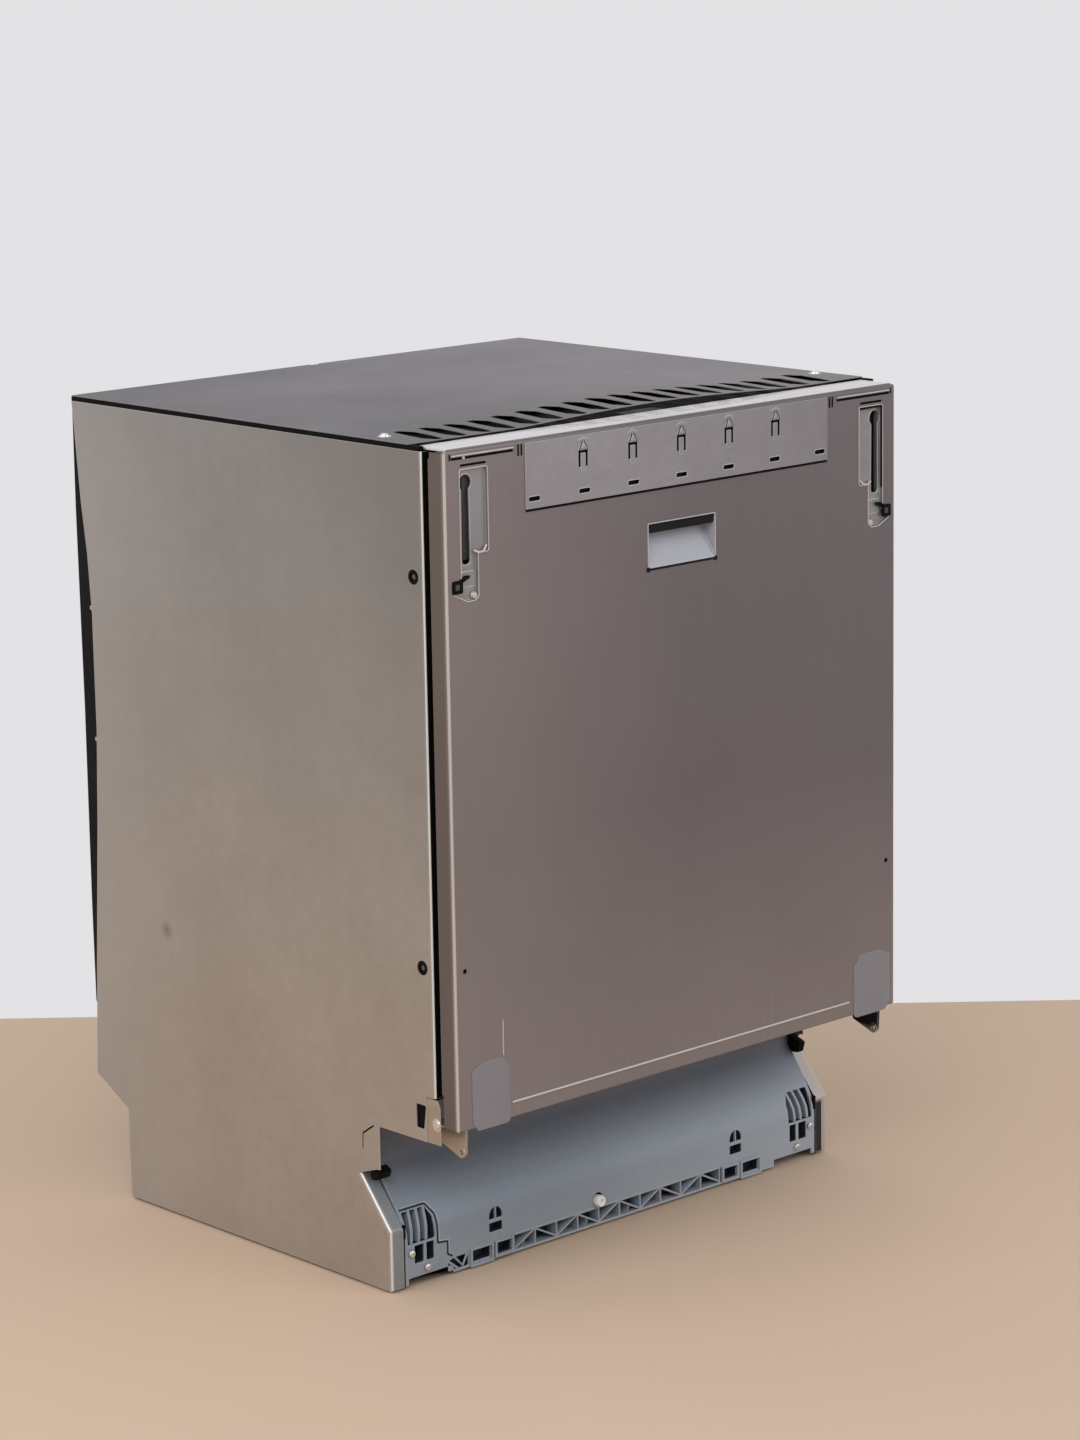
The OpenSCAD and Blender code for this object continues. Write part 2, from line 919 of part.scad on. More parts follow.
module control_fascia() {
    color("whitesmoke")
        placed()
            difference() {
                union() {
                    block(-lamp_x, 1.5, door_top - lamp_thick, lamp_x, lamp_back, door_top);
                    block(-lamp_x, 3, door_top - 14, lamp_x, 5, door_top - 5);
                }
                block(-84, button_y - 1, door_top - 1, 44, button_y + 1, door_top + 2);
                button_hole(power_x, 8);
                button_hole(program_x, 11);
                button_hole(start_x, 11);
            }
}

module power_button() {
    color("dimgray") placed() button_cap(power_x, 8);
}

module program_button() {
    color("dimgray") placed() button_cap(program_x, 11);
}

module start_button() {
    color("dimgray") placed() button_cap(start_x, 11);
}

module hook_punch() {
    translate([-5.7, 779.5]) square([2.4, 15]);
    translate([3.3, 779.5]) square([2.4, 15]);
    translate([-5.7, 792.5]) square([11.4, 2.5]);
}

module deco_plate() {
    color("lightslategray")
        placed()
            difference() {
                block(-199, 0, 748, 199, skin_y, 809);
                for (i = [0 : hook_count - 1])
                    translate([(i - (hook_count - 1) / 2) * hook_pitch, 0, 0])
                        run_y(-2, 6) hook_punch();
                for (i = [0 : hook_count + 1])
                    translate([(i - (hook_count + 1) / 2) * hook_pitch, 0, 0])
                        block(-7, -2, 755, 7, 4, 759);
            }
}

module handle_cup() {
    color("gainsboro")
        placed()
            difference() {
                block(-45, 1.2, 673, 45, 22, 716);
                run_x(-43, 86)
                    polygon([[-1, 674.5], [2, 674.5], [20, 694], [20, 712], [2, 714.5], [-1, 714.5]]);
            }
}

// Keyhole bracket of the right side
module keyhole_bracket() {
    run_y(4, 1.2)
        difference() {
            pocket_shape();
            translate([269.3, 781]) circle(r = 7, $fn = round_fn);
            translate([265.1, 707]) square([8.4, 74]);
        }
    block(245, 4, 717, 246.5, 18, 795);
    block(276.5, 4, 690, 278, 18, 795);
    block(245, 17, 717, 278, 18, 795);
}

module keyhole_bracket_right() {
    color("silver") placed() keyhole_bracket();
}

module keyhole_bracket_left() {
    color("silver") placed() mirror([1, 0, 0]) keyhole_bracket();
}

module corner_pads() {
    color("lightslategray")
        placed()
            both_sides() {
                block(233, 0.2, 181, 277, skin_y, 232);
                block(241, 0.2, 230, 269, skin_y, 240);
                rod_y(241, 0.2, 232, 8, 0.8);
                rod_y(269, 0.2, 232, 8, 0.8);
            }
}

// Hinge arm: round the pin, down to the eye and up inside the door
module arm_shape() {
    difference() {
        union() {
            translate([hinge_y, hinge_z]) circle(r = 8, $fn = round_fn);
            translate([13, 156]) circle(r = 6, $fn = round_fn);
            polygon([[13, 150.1], [42, 160], [35.5, 180], [28, 191], [7, 191], [7.1, 156]]);
            translate([7, 180]) square([12, 140]);
        }
        translate([hinge_y, hinge_z]) circle(r = pin_r + fit_gap, $fn = round_fn);
        translate([13, 156]) circle(r = 2.5, $fn = round_fn);
    }
}

module hinge_arms() {
    color("tan")
        placed()
            both_sides() run_x(279, 3) arm_shape();
}

module dispenser_body() {
    color("gray")
        placed()
            difference() {
                block(-41.5, 23, 448.5, 151.5, 43, 591.5);
                block(-30, 26, 535, 30, 50, 580);
                rod_y(110, 28, 500, 20.4, 30);
            }
}

module dispenser_lid() {
    color("lightgray")
        placed() {
            block(-33, 43.3, 531, 33, 45.3, 584);
            block(-24, 45, 545, 24, 46.8, 551);
        }
}

module rinse_cap() {
    color("dimgray")
        placed() {
            rod_y(110, 32, 500, 20, 13);
            block(94, 44, 498, 126, 48, 502);
        }
}

side_panel_left();
side_panel_right();
top_cover();
cover_screws();
rear_insulation();
tub();
tub_front_frame();
door_gasket();
upper_rack_rails();
base_tray();
plinth_panel();
plinth_screws();
hinge_brackets();
hinge_pins();
sump();
circulation_pump();
drain_pump();
water_softener();
inlet_valve();
drain_spigot();
power_inlet();
filter_plate();
door_springs();
latch_catch();
rear_adjuster();
salt_cap();
filter_cylinder();
lower_spray_arm();
upper_spray_arm();
top_sprinkler();
foot_front_left();
foot_front_right();
foot_rear();
lower_rack();
lower_wheels_front();
lower_wheels_rear();
cutlery_basket();
tine_row();
upper_rack();
upper_rollers_front();
upper_rollers_rear();
upper_feed_tube();
cup_shelf_left();
cup_shelf_right();
outer_door_panel();
inner_door_liner();
control_fascia();
power_button();
program_button();
start_button();
deco_plate();
handle_cup();
keyhole_bracket_left();
keyhole_bracket_right();
corner_pads();
hinge_arms();
dispenser_body();
dispenser_lid();
rinse_cap();
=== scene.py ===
"""A built-in dishwasher dressed for the camera: sheet metal, moulded plastic, wire racks."""

import math

import bmesh
import bpy
from mathutils import Matrix, Vector


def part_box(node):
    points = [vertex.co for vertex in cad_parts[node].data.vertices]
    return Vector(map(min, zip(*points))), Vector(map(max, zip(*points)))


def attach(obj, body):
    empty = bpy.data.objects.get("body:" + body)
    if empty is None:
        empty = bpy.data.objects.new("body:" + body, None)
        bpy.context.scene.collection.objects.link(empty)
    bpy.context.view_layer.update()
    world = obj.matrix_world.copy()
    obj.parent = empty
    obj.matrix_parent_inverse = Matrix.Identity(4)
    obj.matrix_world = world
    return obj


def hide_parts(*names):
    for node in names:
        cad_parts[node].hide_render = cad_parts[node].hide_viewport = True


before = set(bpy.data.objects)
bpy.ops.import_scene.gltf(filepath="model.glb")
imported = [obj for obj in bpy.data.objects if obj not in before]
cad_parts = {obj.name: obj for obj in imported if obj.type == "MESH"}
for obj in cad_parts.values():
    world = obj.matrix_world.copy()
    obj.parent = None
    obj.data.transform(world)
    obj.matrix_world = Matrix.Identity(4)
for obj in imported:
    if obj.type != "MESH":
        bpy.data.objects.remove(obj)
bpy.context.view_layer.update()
scene = bpy.context.scene

# Pieces are drawn in millimetres: x to the right, y back from the door's front, z up from the floor.
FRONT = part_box("deco_plate")[0].y
SETTLE = Matrix.Translation((0, FRONT, 0)) @ Matrix.Scale(0.001, 4)


def span(node):
    """The lowest and highest corner of a CAD node in those millimetres."""
    back = SETTLE.inverted()
    return [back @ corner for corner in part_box(node)]


PANEL = span("side_panel_right")
HALF, DEEP, TOP = PANEL[1].x, PANEL[1].y, PANEL[1].z
DOOR = span("outer_door_panel")
DOOR_X, DOOR_LOW = DOOR[1].x, DOOR[0].z
STRIP = span("control_fascia")
COVER_BOW = span("top_cover")[1].z - TOP
PIN = span("hinge_pins")
PIN_AT = (PIN[0] + PIN[1]) / 2


# ---- camera, light and floor ----

def add_camera(at, yaw, pitch, roll, lens):
    """A camera that looks along +Y at yaw 0 and turns towards +X. Angles are in degrees."""
    yaw, pitch, roll = (math.radians(a) for a in (yaw, pitch, roll))
    ahead = Vector((math.sin(yaw) * math.cos(pitch), math.cos(yaw) * math.cos(pitch), math.sin(pitch)))
    level = Vector((math.cos(yaw), -math.sin(yaw), 0))
    above = level.cross(ahead)
    right = math.cos(roll) * level + math.sin(roll) * above
    up = math.cos(roll) * above - math.sin(roll) * level
    data = bpy.data.cameras.new("camera")
    data.lens = lens
    data.sensor_width = 36
    camera = bpy.data.objects.new("camera", data)
    camera.matrix_world = Matrix.Translation(at) @ Matrix((right, up, -ahead)).transposed().to_4x4()
    scene.collection.objects.link(camera)
    scene.camera = camera


def add_light(name, at, aim, size, power, colour=(1, 1, 1)):
    data = bpy.data.lights.new(name, "AREA")
    data.shape = "RECTANGLE"
    data.size, data.size_y = size
    data.energy = power
    data.color = colour
    light = bpy.data.objects.new(name, data)
    light.location = at
    light.rotation_euler = (Vector(aim) - Vector(at)).to_track_quat("-Z", "Y").to_euler()
    scene.collection.objects.link(light)


def add_world(colour, strength):
    world = bpy.data.worlds.new("studio")
    world.use_nodes = True
    sky = world.node_tree.nodes["Background"]
    sky.inputs["Color"].default_value = (*colour, 1)
    sky.inputs["Strength"].default_value = strength
    scene.world = world


def add_floor(material, yaw, behind):
    """A floor square to the camera that ends some way behind the machine."""
    mesh = bpy.data.meshes.new("floor")
    reach = 12
    mesh.from_pydata([(-reach, -reach, 0), (reach, -reach, 0), (reach, behind, 0), (-reach, behind, 0)],
                     [], [(0, 1, 2, 3)])
    mesh.materials.append(material)
    floor = bpy.data.objects.new("floor", mesh)
    floor.location.z = -0.0005
    floor.rotation_euler.z = math.radians(-yaw)
    scene.collection.objects.link(floor)


# ---- mesh helpers: they return a mesh in millimetres ----

AXES = {
    "x": Matrix(((0, 0, 1), (1, 0, 0), (0, 1, 0))).to_4x4(),
    "y": Matrix(((1, 0, 0), (0, 0, -1), (0, 1, 0))).to_4x4(),
    "z": Matrix.Identity(4),
}


def baked(obj):
    """The object's shown mesh; the object itself is removed."""
    scene.collection.objects.link(obj)
    bpy.context.view_layer.update()
    shown = obj.evaluated_get(bpy.context.evaluated_depsgraph_get())
    mesh = bpy.data.meshes.new_from_object(shown)
    mesh.transform(obj.matrix_world)
    bpy.data.objects.remove(obj)
    return mesh


def from_bmesh(bm):
    bmesh.ops.recalc_face_normals(bm, faces=bm.faces)
    mesh = bpy.data.meshes.new("shape")
    bm.to_mesh(mesh)
    bm.free()
    return mesh


def with_modifier(mesh, kind, **settings):
    obj = bpy.data.objects.new("shape", mesh)
    modifier = obj.modifiers.new("shape", kind)
    for key, value in settings.items():
        setattr(modifier, key, value)
    return baked(obj)


def arc(before, here, after, radius, steps):
    """Points on the arc that rounds one corner of a path."""
    a, b = before - here, after - here
    reach = min(radius / math.tan(a.angle(b) / 2), 0.49 * a.length, 0.49 * b.length)
    start, end = here + a.normalized() * reach, here + b.normalized() * reach
    return [start * (1 - t) ** 2 + here * 2 * t * (1 - t) + end * t ** 2
            for t in (k / steps for k in range(steps + 1))]


def rounded(points, radius, steps=5):
    """The outline with each corner turned into an arc. Radius is one number or one for each corner."""
    points = [Vector(p) for p in points]
    radii = radius if isinstance(radius, (list, tuple)) else [radius] * len(points)
    out = []
    for i, here in enumerate(points):
        before, after = points[i - 1], points[(i + 1) % len(points)]
        straight = (before - here).angle(after - here) > 3.1
        if radii[i] < 0.01 or straight:
            out.append(tuple(here))
        else:
            out += [tuple(p) for p in arc(before, here, after, radii[i], steps)]
    return out


def bent(points, radius, steps=5):
    """A path in space with its corners turned into arcs."""
    points = [Vector(p) for p in points]
    out = [points[0]]
    for before, here, after in zip(points, points[1:], points[2:]):
        out += arc(before, here, after, radius, steps)
    return [*out, points[-1]]


def oblong(u0, v0, u1, v1, radius=0.0, steps=4):
    return rounded([(u0, v0), (u1, v0), (u1, v1), (u0, v1)], radius, steps)


def oblong_on(low, high, inset=0.0, radius=0.0, steps=4):
    """A node's outline as seen from the front, drawn in by the inset."""
    return oblong(low.x + inset, low.z + inset, high.x - inset, high.z - inset, radius, steps)


def at_depth(outline, y):
    """The outline of (x, z) points at a depth."""
    return [(x, y, z) for x, z in outline]


def flipped(outline):
    return [(-x, z) for x, z in outline]


def circle(u, v, r, count=32):
    return [(u + r * math.cos(math.tau * i / count), v + r * math.sin(math.tau * i / count))
            for i in range(count)]


def from_curve(curve, place=Matrix.Identity(4)):
    obj = bpy.data.objects.new("curve", curve)
    obj.matrix_world = place
    mesh = baked(obj)
    bpy.data.curves.remove(curve)
    return mesh


def add_spline(curve, points, closed):
    spline = curve.splines.new("POLY")
    spline.points.add(len(points) - 1)
    for point, at in zip(spline.points, points):
        point.co = (*at, 1)
    spline.use_cyclic_u = closed


def flat(outline, holes, low, high, axis, bevel=0.25):
    """A plate across the axis from low to high, with its outline, its holes and rounded edges."""
    curve = bpy.data.curves.new("plate", "CURVE")
    curve.dimensions = "2D"
    curve.fill_mode = "BOTH"
    curve.extrude = max((high - low) / 2 - bevel, 0.001)
    curve.bevel_depth = bevel
    curve.bevel_resolution = 1
    curve.offset = -bevel
    for loop in [outline, *holes]:
        add_spline(curve, [(u, v, 0) for u, v in loop], True)
    middle = (low + high) / 2
    shift = {"x": (middle, 0, 0), "y": (0, middle, 0), "z": (0, 0, middle)}[axis]
    return from_curve(curve, Matrix.Translation(shift) @ AXES[axis])


def brick(x0, y0, z0, x1, y1, z1, bevel=0.4):
    """A block with rounded edges."""
    bm = bmesh.new()
    bmesh.ops.create_cube(bm, size=1)
    low, high = (x0, y0, z0), (x1, y1, z1)
    for vert in bm.verts:
        vert.co = [low[k] if vert.co[k] < 0 else high[k] for k in range(3)]
    if bevel:
        bmesh.ops.bevel(bm, geom=list(bm.edges), offset=bevel, segments=2, affect="EDGES")
    return from_bmesh(bm)


def sweep(section, axis, low, high, thick=0.0, offset=0.0):
    """A section drawn across the axis and drawn out along it. A sheet gets a thickness."""
    bm = bmesh.new()
    rows = []
    for w in (low, high):
        place = {"x": lambda a, b: (w, a, b), "y": lambda a, b: (a, w, b), "z": lambda a, b: (a, b, w)}[axis]
        rows.append([bm.verts.new(place(a, b)) for a, b in section])
    for k in range(len(section) - 1):
        bm.faces.new((rows[0][k], rows[0][k + 1], rows[1][k + 1], rows[1][k]))
    mesh = from_bmesh(bm)
    if thick:
        mesh = with_modifier(mesh, "SOLIDIFY", thickness=thick, offset=offset)
    return mesh


def loft(rings, cap_start=False, cap_end=False, closed=True):
    """Skins a list of rings with the same number of points."""
    bm = bmesh.new()
    rows = [[bm.verts.new(p) for p in one] for one in rings]
    count = len(rows[0])
    for a, b in zip(rows, rows[1:]):
        for i in range(count if closed else count - 1):
            j = (i + 1) % count
            bm.faces.new((a[i], a[j], b[j], b[i]))
    if cap_start:
        bm.faces.new(rows[0])
    if cap_end:
        bm.faces.new(rows[-1])
    return from_bmesh(bm)


def turned(profile, centre, axis, count=32):
    """A turned shape: profile is (radius, height along the axis)."""
    bm = bmesh.new()
    rows = []
    for r, h in profile:
        if r < 0.001:
            rows.append([bm.verts.new((0, 0, h))])
        else:
            rows.append([bm.verts.new((u, v, h)) for u, v in circle(0, 0, r, count)])
    for a, b in zip(rows, rows[1:]):
        for i in range(count):
            j = (i + 1) % count
            if len(a) == 1 and len(b) == 1:
                continue
            if len(a) == 1:
                bm.faces.new((a[0], b[j], b[i]))
            elif len(b) == 1:
                bm.faces.new((a[i], a[j], b[0]))
            else:
                bm.faces.new((a[i], a[j], b[j], b[i]))
    mesh = from_bmesh(bm)
    turn = {"x": AXES["x"], "y": Matrix.Rotation(-math.pi / 2, 4, "X"), "z": AXES["z"]}[axis]
    mesh.transform(Matrix.Translation(Vector(centre)) @ turn)
    return mesh


def wires(paths, radius, sides=2, closed=False):
    """Round wires, one for each path. Each has caps, or is a closed loop."""
    curve = bpy.data.curves.new("wires", "CURVE")
    curve.dimensions = "3D"
    curve.bevel_depth = radius
    curve.bevel_resolution = sides
    curve.use_fill_caps = True
    for points in paths:
        add_spline(curve, points, closed)
    return from_curve(curve)


def sliced(mesh, axis, places):
    """Cuts the faces at each place along the axis, so that the sheet can be bent."""
    bm = bmesh.new()
    bm.from_mesh(mesh)
    normal = Vector([float(letter == axis) for letter in "xyz"])
    for place in places:
        bmesh.ops.bisect_plane(bm, geom=[*bm.verts, *bm.edges, *bm.faces], plane_co=normal * place,
                               plane_no=normal)
    bm.to_mesh(mesh)
    bm.free()
    return mesh


def moved(mesh, rule):
    """Moves every point of the mesh by the rule."""
    for vert in mesh.vertices:
        vert.co = rule(vert.co)
    mesh.update()
    return mesh


def both(mesh):
    """The mesh of the right side with its mirror image."""
    return joined(mirrored(mesh), mesh)


def mirrored(mesh):
    copy = mesh.copy()
    copy.transform(Matrix.Scale(-1, 4, (1, 0, 0)))
    copy.flip_normals()
    return copy


def joined(*meshes):
    bm = bmesh.new()
    for mesh in meshes:
        bm.from_mesh(mesh)
        bpy.data.meshes.remove(mesh)
    whole = bpy.data.meshes.new("joined")
    bm.to_mesh(whole)
    bm.free()
    return whole


def piece(name, mesh, material, body, *nodes, smooth=35):
    """Puts a finished mesh in the scene. It stands for the nodes, if any, and rides on the body."""
    mesh.transform(SETTLE)
    obj = bpy.data.objects.new(name, mesh)
    mesh.name = name
    scene.collection.objects.link(obj)
    mesh.materials.clear()
    mesh.materials.append(material)
    for face in mesh.polygons:
        face.material_index = 0
        face.use_smooth = True
    mesh.set_sharp_from_angle(angle=math.radians(smooth))
    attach(obj, body)
    if nodes:
        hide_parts(*nodes)


def dress(node, material):
    """Gives a CAD node that is shown as it is its material."""
    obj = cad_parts[node]
    obj.data.materials.clear()
    obj.data.materials.append(material)


# ---- materials ----

def tone(r, g, b):
    """A colour of 0 to 255 on a screen as linear light."""
    return tuple(c / 255 / 12.92 if c < 11 else ((c / 255 + 0.055) / 1.055) ** 2.4 for c in (r, g, b))


class Look:
    """One material, built up from noise in object space."""

    def __init__(self, name, colour, roughness, metallic=0.0, specular=0.5, coat=0.0):
        self.material = bpy.data.materials.new(name)
        self.material.use_nodes = True
        self.tree = self.material.node_tree
        self.shader = self.tree.nodes["Principled BSDF"]
        self.shader.inputs["Metallic"].default_value = metallic
        self.shader.inputs["Specular IOR Level"].default_value = specular
        self.shader.inputs["Coat Weight"].default_value = coat
        self.colour = (*colour, 1)
        self.rough = roughness
        self.height = None
        self.place = self.node("ShaderNodeTexCoord").outputs["Object"]

    def node(self, kind, **settings):
        made = self.tree.nodes.new(kind)
        for key, value in settings.items():
            setattr(made, key, value)
        return made

    def feed(self, socket, item):
        if isinstance(item, bpy.types.NodeSocket):
            self.tree.links.new(item, socket)
        else:
            socket.default_value = item

    def math(self, kind, a, b):
        made = self.node("ShaderNodeMath", operation=kind)
        self.feed(made.inputs[0], a)
        self.feed(made.inputs[1], b)
        return made.outputs[0]

    def product(self, a, b):
        return self.math("MULTIPLY", a, b)

    def part(self, axis):
        """One coordinate of the point."""
        split = self.node("ShaderNodeSeparateXYZ")
        self.feed(split.inputs[0], self.place)
        return split.outputs[axis]

    def noise(self, scale, detail=4, rough=0.55, stretch=(1, 1, 1)):
        mapping = self.node("ShaderNodeMapping")
        made = self.node("ShaderNodeTexNoise")
        self.feed(mapping.inputs["Vector"], self.place)
        self.feed(mapping.inputs["Scale"], stretch)
        for name, item in (("Vector", mapping.outputs[0]), ("Scale", scale), ("Detail", detail),
                           ("Roughness", rough)):
            self.feed(made.inputs[name], item)
        return made.outputs["Fac"]

    def cells(self, scale):
        made = self.node("ShaderNodeTexVoronoi")
        made.inputs["Scale"].default_value = scale
        self.feed(made.inputs["Vector"], self.place)
        split = self.node("ShaderNodeSeparateColor")
        self.feed(split.inputs[0], made.outputs["Color"])
        return split.outputs[0]

    def ramp(self, fac, low, high, start=0.0, end=1.0):
        made = self.node("ShaderNodeMapRange")
        names = ("Value", "From Min", "From Max", "To Min", "To Max")
        for name, item in zip(names, (fac, low, high, start, end)):
            self.feed(made.inputs[name], item)
        return made.outputs["Result"]

    def along(self, axis, low, high, start=0.0, end=1.0):
        """From start at the low coordinate to end at the high one."""
        return self.ramp(self.part(axis), low, high, start, end)

    def outward(self):
        """The distance to the middle plane of the machine."""
        return self.math("ABSOLUTE", self.part("X"), 0.0)

    def band(self, middle, reach, amount):
        """The amount within reach of a distance from the middle plane, fading to nothing at twice that."""
        gap = self.math("ABSOLUTE", self.math("SUBTRACT", self.outward(), middle), 0.0)
        return self.ramp(gap, reach, reach * 2, amount, 0.0)

    def inside(self, limit, fade=0.0004):
        """One where the distance to the middle plane is under the limit, else nothing."""
        return self.ramp(self.outward(), limit, limit + fade, 1.0, 0.0)

    def near(self, point, inner, outer, amount):
        """The amount close to a point, fading to nothing."""
        gap = self.node("ShaderNodeVectorMath", operation="DISTANCE")
        self.feed(gap.inputs[0], self.place)
        gap.inputs[1].default_value = point
        return self.ramp(gap.outputs["Value"], inner, outer, amount, 0.0)

    def tint(self, fac, colour):
        """Mixes a colour in by the factor."""
        made = self.node("ShaderNodeMix", data_type="RGBA", blend_type="MIX")
        self.feed(made.inputs[0], fac)
        self.feed(made.inputs[6], self.colour)
        self.feed(made.inputs[7], (*colour, 1))
        self.colour = made.outputs[2]
        return self

    def shade(self, fac, amount):
        """Lighter and darker by up to the amount, around the colour."""
        level = self.ramp(fac, 0.3, 0.7, 1 - amount, 1 + amount)
        made = self.node("ShaderNodeVectorMath", operation="SCALE")
        linked = isinstance(self.colour, bpy.types.NodeSocket)
        self.feed(made.inputs[0], self.colour if linked else self.colour[:3])
        self.feed(made.inputs["Scale"], level)
        self.colour = made.outputs[0]
        return self

    def vary_rough(self, fac, amount):
        spread = self.product(self.math("SUBTRACT", fac, 0.5), amount)
        self.rough = self.math("ADD", spread, self.rough)
        return self

    def bump(self, fac, metres):
        part = self.product(fac, metres)
        self.height = part if self.height is None else self.math("ADD", self.height, part)
        return self

    def edge_wear_and_highlight(self, colour, width=0.0015, amount=0.6):
        """Edges mixed towards another colour: rubbed wear and a painted highlight on the edges."""
        bevel = self.node("ShaderNodeBevel", samples=4)
        bevel.inputs["Radius"].default_value = width
        dot = self.node("ShaderNodeVectorMath", operation="DOT_PRODUCT")
        self.feed(dot.inputs[0], bevel.outputs["Normal"])
        self.feed(dot.inputs[1], self.node("ShaderNodeNewGeometry").outputs["Normal"])
        return self.tint(self.ramp(dot.outputs["Value"], 0.99, 0.8, 0.0, amount), colour)

    def done(self):
        self.feed(self.shader.inputs["Base Color"], self.colour)
        self.feed(self.shader.inputs["Roughness"], self.rough)
        if self.height is not None:
            bump = self.node("ShaderNodeBump")
            bump.inputs["Distance"].default_value = 1.0
            self.feed(bump.inputs["Height"], self.height)
            self.feed(self.shader.inputs["Normal"], bump.outputs["Normal"])
        return self.material


def zinc_sheet():
    """Galvanised side sheet, mottled: cool at the top and warmer below as a painted reflection of the floor,
    with painted shading along it, painted highlights and shade at its bent edges, and lighter edges as rubbed
    wear and painted highlight.
    """
    half = HALF * 0.001
    look = Look("zinc_sheet", tone(163, 153, 142), 0.48, metallic=0.5)
    # Painted reflection of the floor: lighter and warmer low down, cooler grey towards the top.
    look.tint(look.along("Z", 0.15, 0.82), tone(137, 137, 137))
    look.shade(look.noise(4.5, 3), 0.085)
    look.shade(look.cells(95), 0.016)
    look.shade(look.noise(60, 5, stretch=(1, 1, 0.15)), 0.018)
    # Painted shading: lighter towards the back, darker towards the front and top.
    look.tint(look.along("Y", FRONT + 0.36, FRONT + 0.54, 0.0, 0.45), tone(168, 165, 163))
    forward = look.along("Y", FRONT + 0.35, FRONT + 0.05, 0.0, 0.8)
    look.tint(look.product(forward, look.along("Z", 0.35, 0.8)), tone(120, 116, 113))
    look.tint(look.near((-half, FRONT + 0.425, 0.295), 0.001, 0.010, 0.45), tone(70, 62, 55))
    # A painted highlight on the front bend, and near-black painted shade in the gap inside it.
    front = look.along("Y", FRONT + 0.0335, FRONT + 0.0325)
    look.tint(look.product(front, look.inside(half - 0.0006)), tone(225, 230, 230))
    look.tint(look.product(front, look.inside(half - 0.0022)), tone(16, 16, 16))
    # Painted highlight on the outer turn of the slanted bends, painted shade on their inner part, painted
    # light on the right one, and a painted shadow low inside the right one.
    low = look.product(look.along("Z", 0.118, 0.114), look.along("Y", FRONT + 0.145, FRONT + 0.142))
    look.tint(look.product(low, look.inside(half - 0.0008)), tone(222, 226, 226))
    inner = look.product(low, look.inside(half - 0.0034, 0.002))
    look.tint(inner, tone(136, 140, 142))
    right = look.product(inner, look.along("X", 0.1, 0.2))
    look.tint(right, tone(182, 176, 170))
    shaded = look.product(look.inside(half - 0.0078, 0.0006), look.along("Z", 0.060, 0.056))
    look.tint(look.product(right, shaded), tone(40, 40, 44))
    look.edge_wear_and_highlight(tone(205, 205, 200), 0.0012, 0.7)
    look.vary_rough(look.noise(14, 4), 0.22).vary_rough(look.cells(95), 0.05)
    look.bump(look.noise(7, 2), 0.0006).bump(look.noise(700, 2), 0.000012)
    return look.done()


def bright_zinc():
    """The bare bends and hinge plates, a little lighter and warmer, with lighter edges as rubbed wear and
    painted highlight, and a painted shadow on the right hinge arm.
    """
    look = Look("bright_zinc", tone(166, 154, 138), 0.38, metallic=0.6)
    look.shade(look.noise(30, 4), 0.06).shade(look.cells(140), 0.02)
    # Painted shadow: dark on the right side above the hinge eye, where the right hinge arm lies in shade.
    look.tint(look.product(look.along("X", 0.1, 0.2), look.along("Z", 0.153, 0.158)), tone(34, 32, 32))
    look.edge_wear_and_highlight(tone(225, 222, 212), 0.001, 0.6)
    look.vary_rough(look.noise(90, 4), 0.2)
    look.bump(look.noise(500, 2), 0.00001)
    return look.done()


def cover_coat():
    """Dull dark coat of the top cover, streaked, a little lighter to the right as painted shading, with
    lighter edges as rubbed wear and painted highlight.
    """
    look = Look("cover_coat", tone(98, 95, 98), 0.5, metallic=0.3)
    # Painted shading: lighter to the right.
    look.tint(look.along("X", -0.25, 0.25), tone(118, 113, 117))
    look.shade(look.noise(4, 4, stretch=(1, 2.2, 1)), 0.11)
    look.shade(look.noise(240, 3), 0.04)
    look.edge_wear_and_highlight(tone(190, 188, 190), 0.001, 0.7)
    look.vary_rough(look.noise(9, 4), 0.2)
    look.bump(look.noise(900, 2), 0.000015).bump(look.noise(6, 2), 0.0004)
    return look.done()


def door_steel():
    """Brown grey door skin with a fine upright grain, lighter and warmer towards the floor as a painted
    reflection of the floor, with painted light and shade on its sides and edges.
    """
    look = Look("door_steel", tone(109, 104, 109), 0.40, metallic=0.5)
    # Painted reflection of the floor: lighter and warmer low down, greyer at the top; and painted light:
    # lighter towards the left.
    look.tint(look.along("Z", 0.45, 0.17, 0.0, 0.8), tone(138, 130, 129))
    look.tint(look.along("Z", 0.70, 0.83, 0.0, 0.3), tone(116, 113, 119))
    look.tint(look.along("X", 0.0, -0.31, 0.0, 0.75), tone(136, 129, 129))
    look.shade(look.noise(420, 4, stretch=(1, 1, 0.02)), 0.03)
    look.shade(look.noise(3, 3), 0.05)
    # Painted shade on the door's sides, behind its front face.
    look.tint(look.along("Y", FRONT + 0.003, FRONT + 0.006, 0.0, 0.7), tone(84, 74, 66))
    # A painted highlight along the bend of each side edge.
    edge = DOOR_X * 0.001 - 0.0009
    rim = look.product(look.band(edge, 0.0007, 0.85),
                    look.along("Y", FRONT + 0.0032, FRONT + 0.0022))
    look.tint(rim, tone(205, 200, 196))
    look.vary_rough(look.noise(420, 3, stretch=(1, 1, 0.03)), 0.12).vary_rough(look.noise(6, 3), 0.12)
    look.bump(look.noise(420, 3, stretch=(1, 1, 0.03)), 0.000012).bump(look.noise(4, 2), 0.0004)
    return look.done()


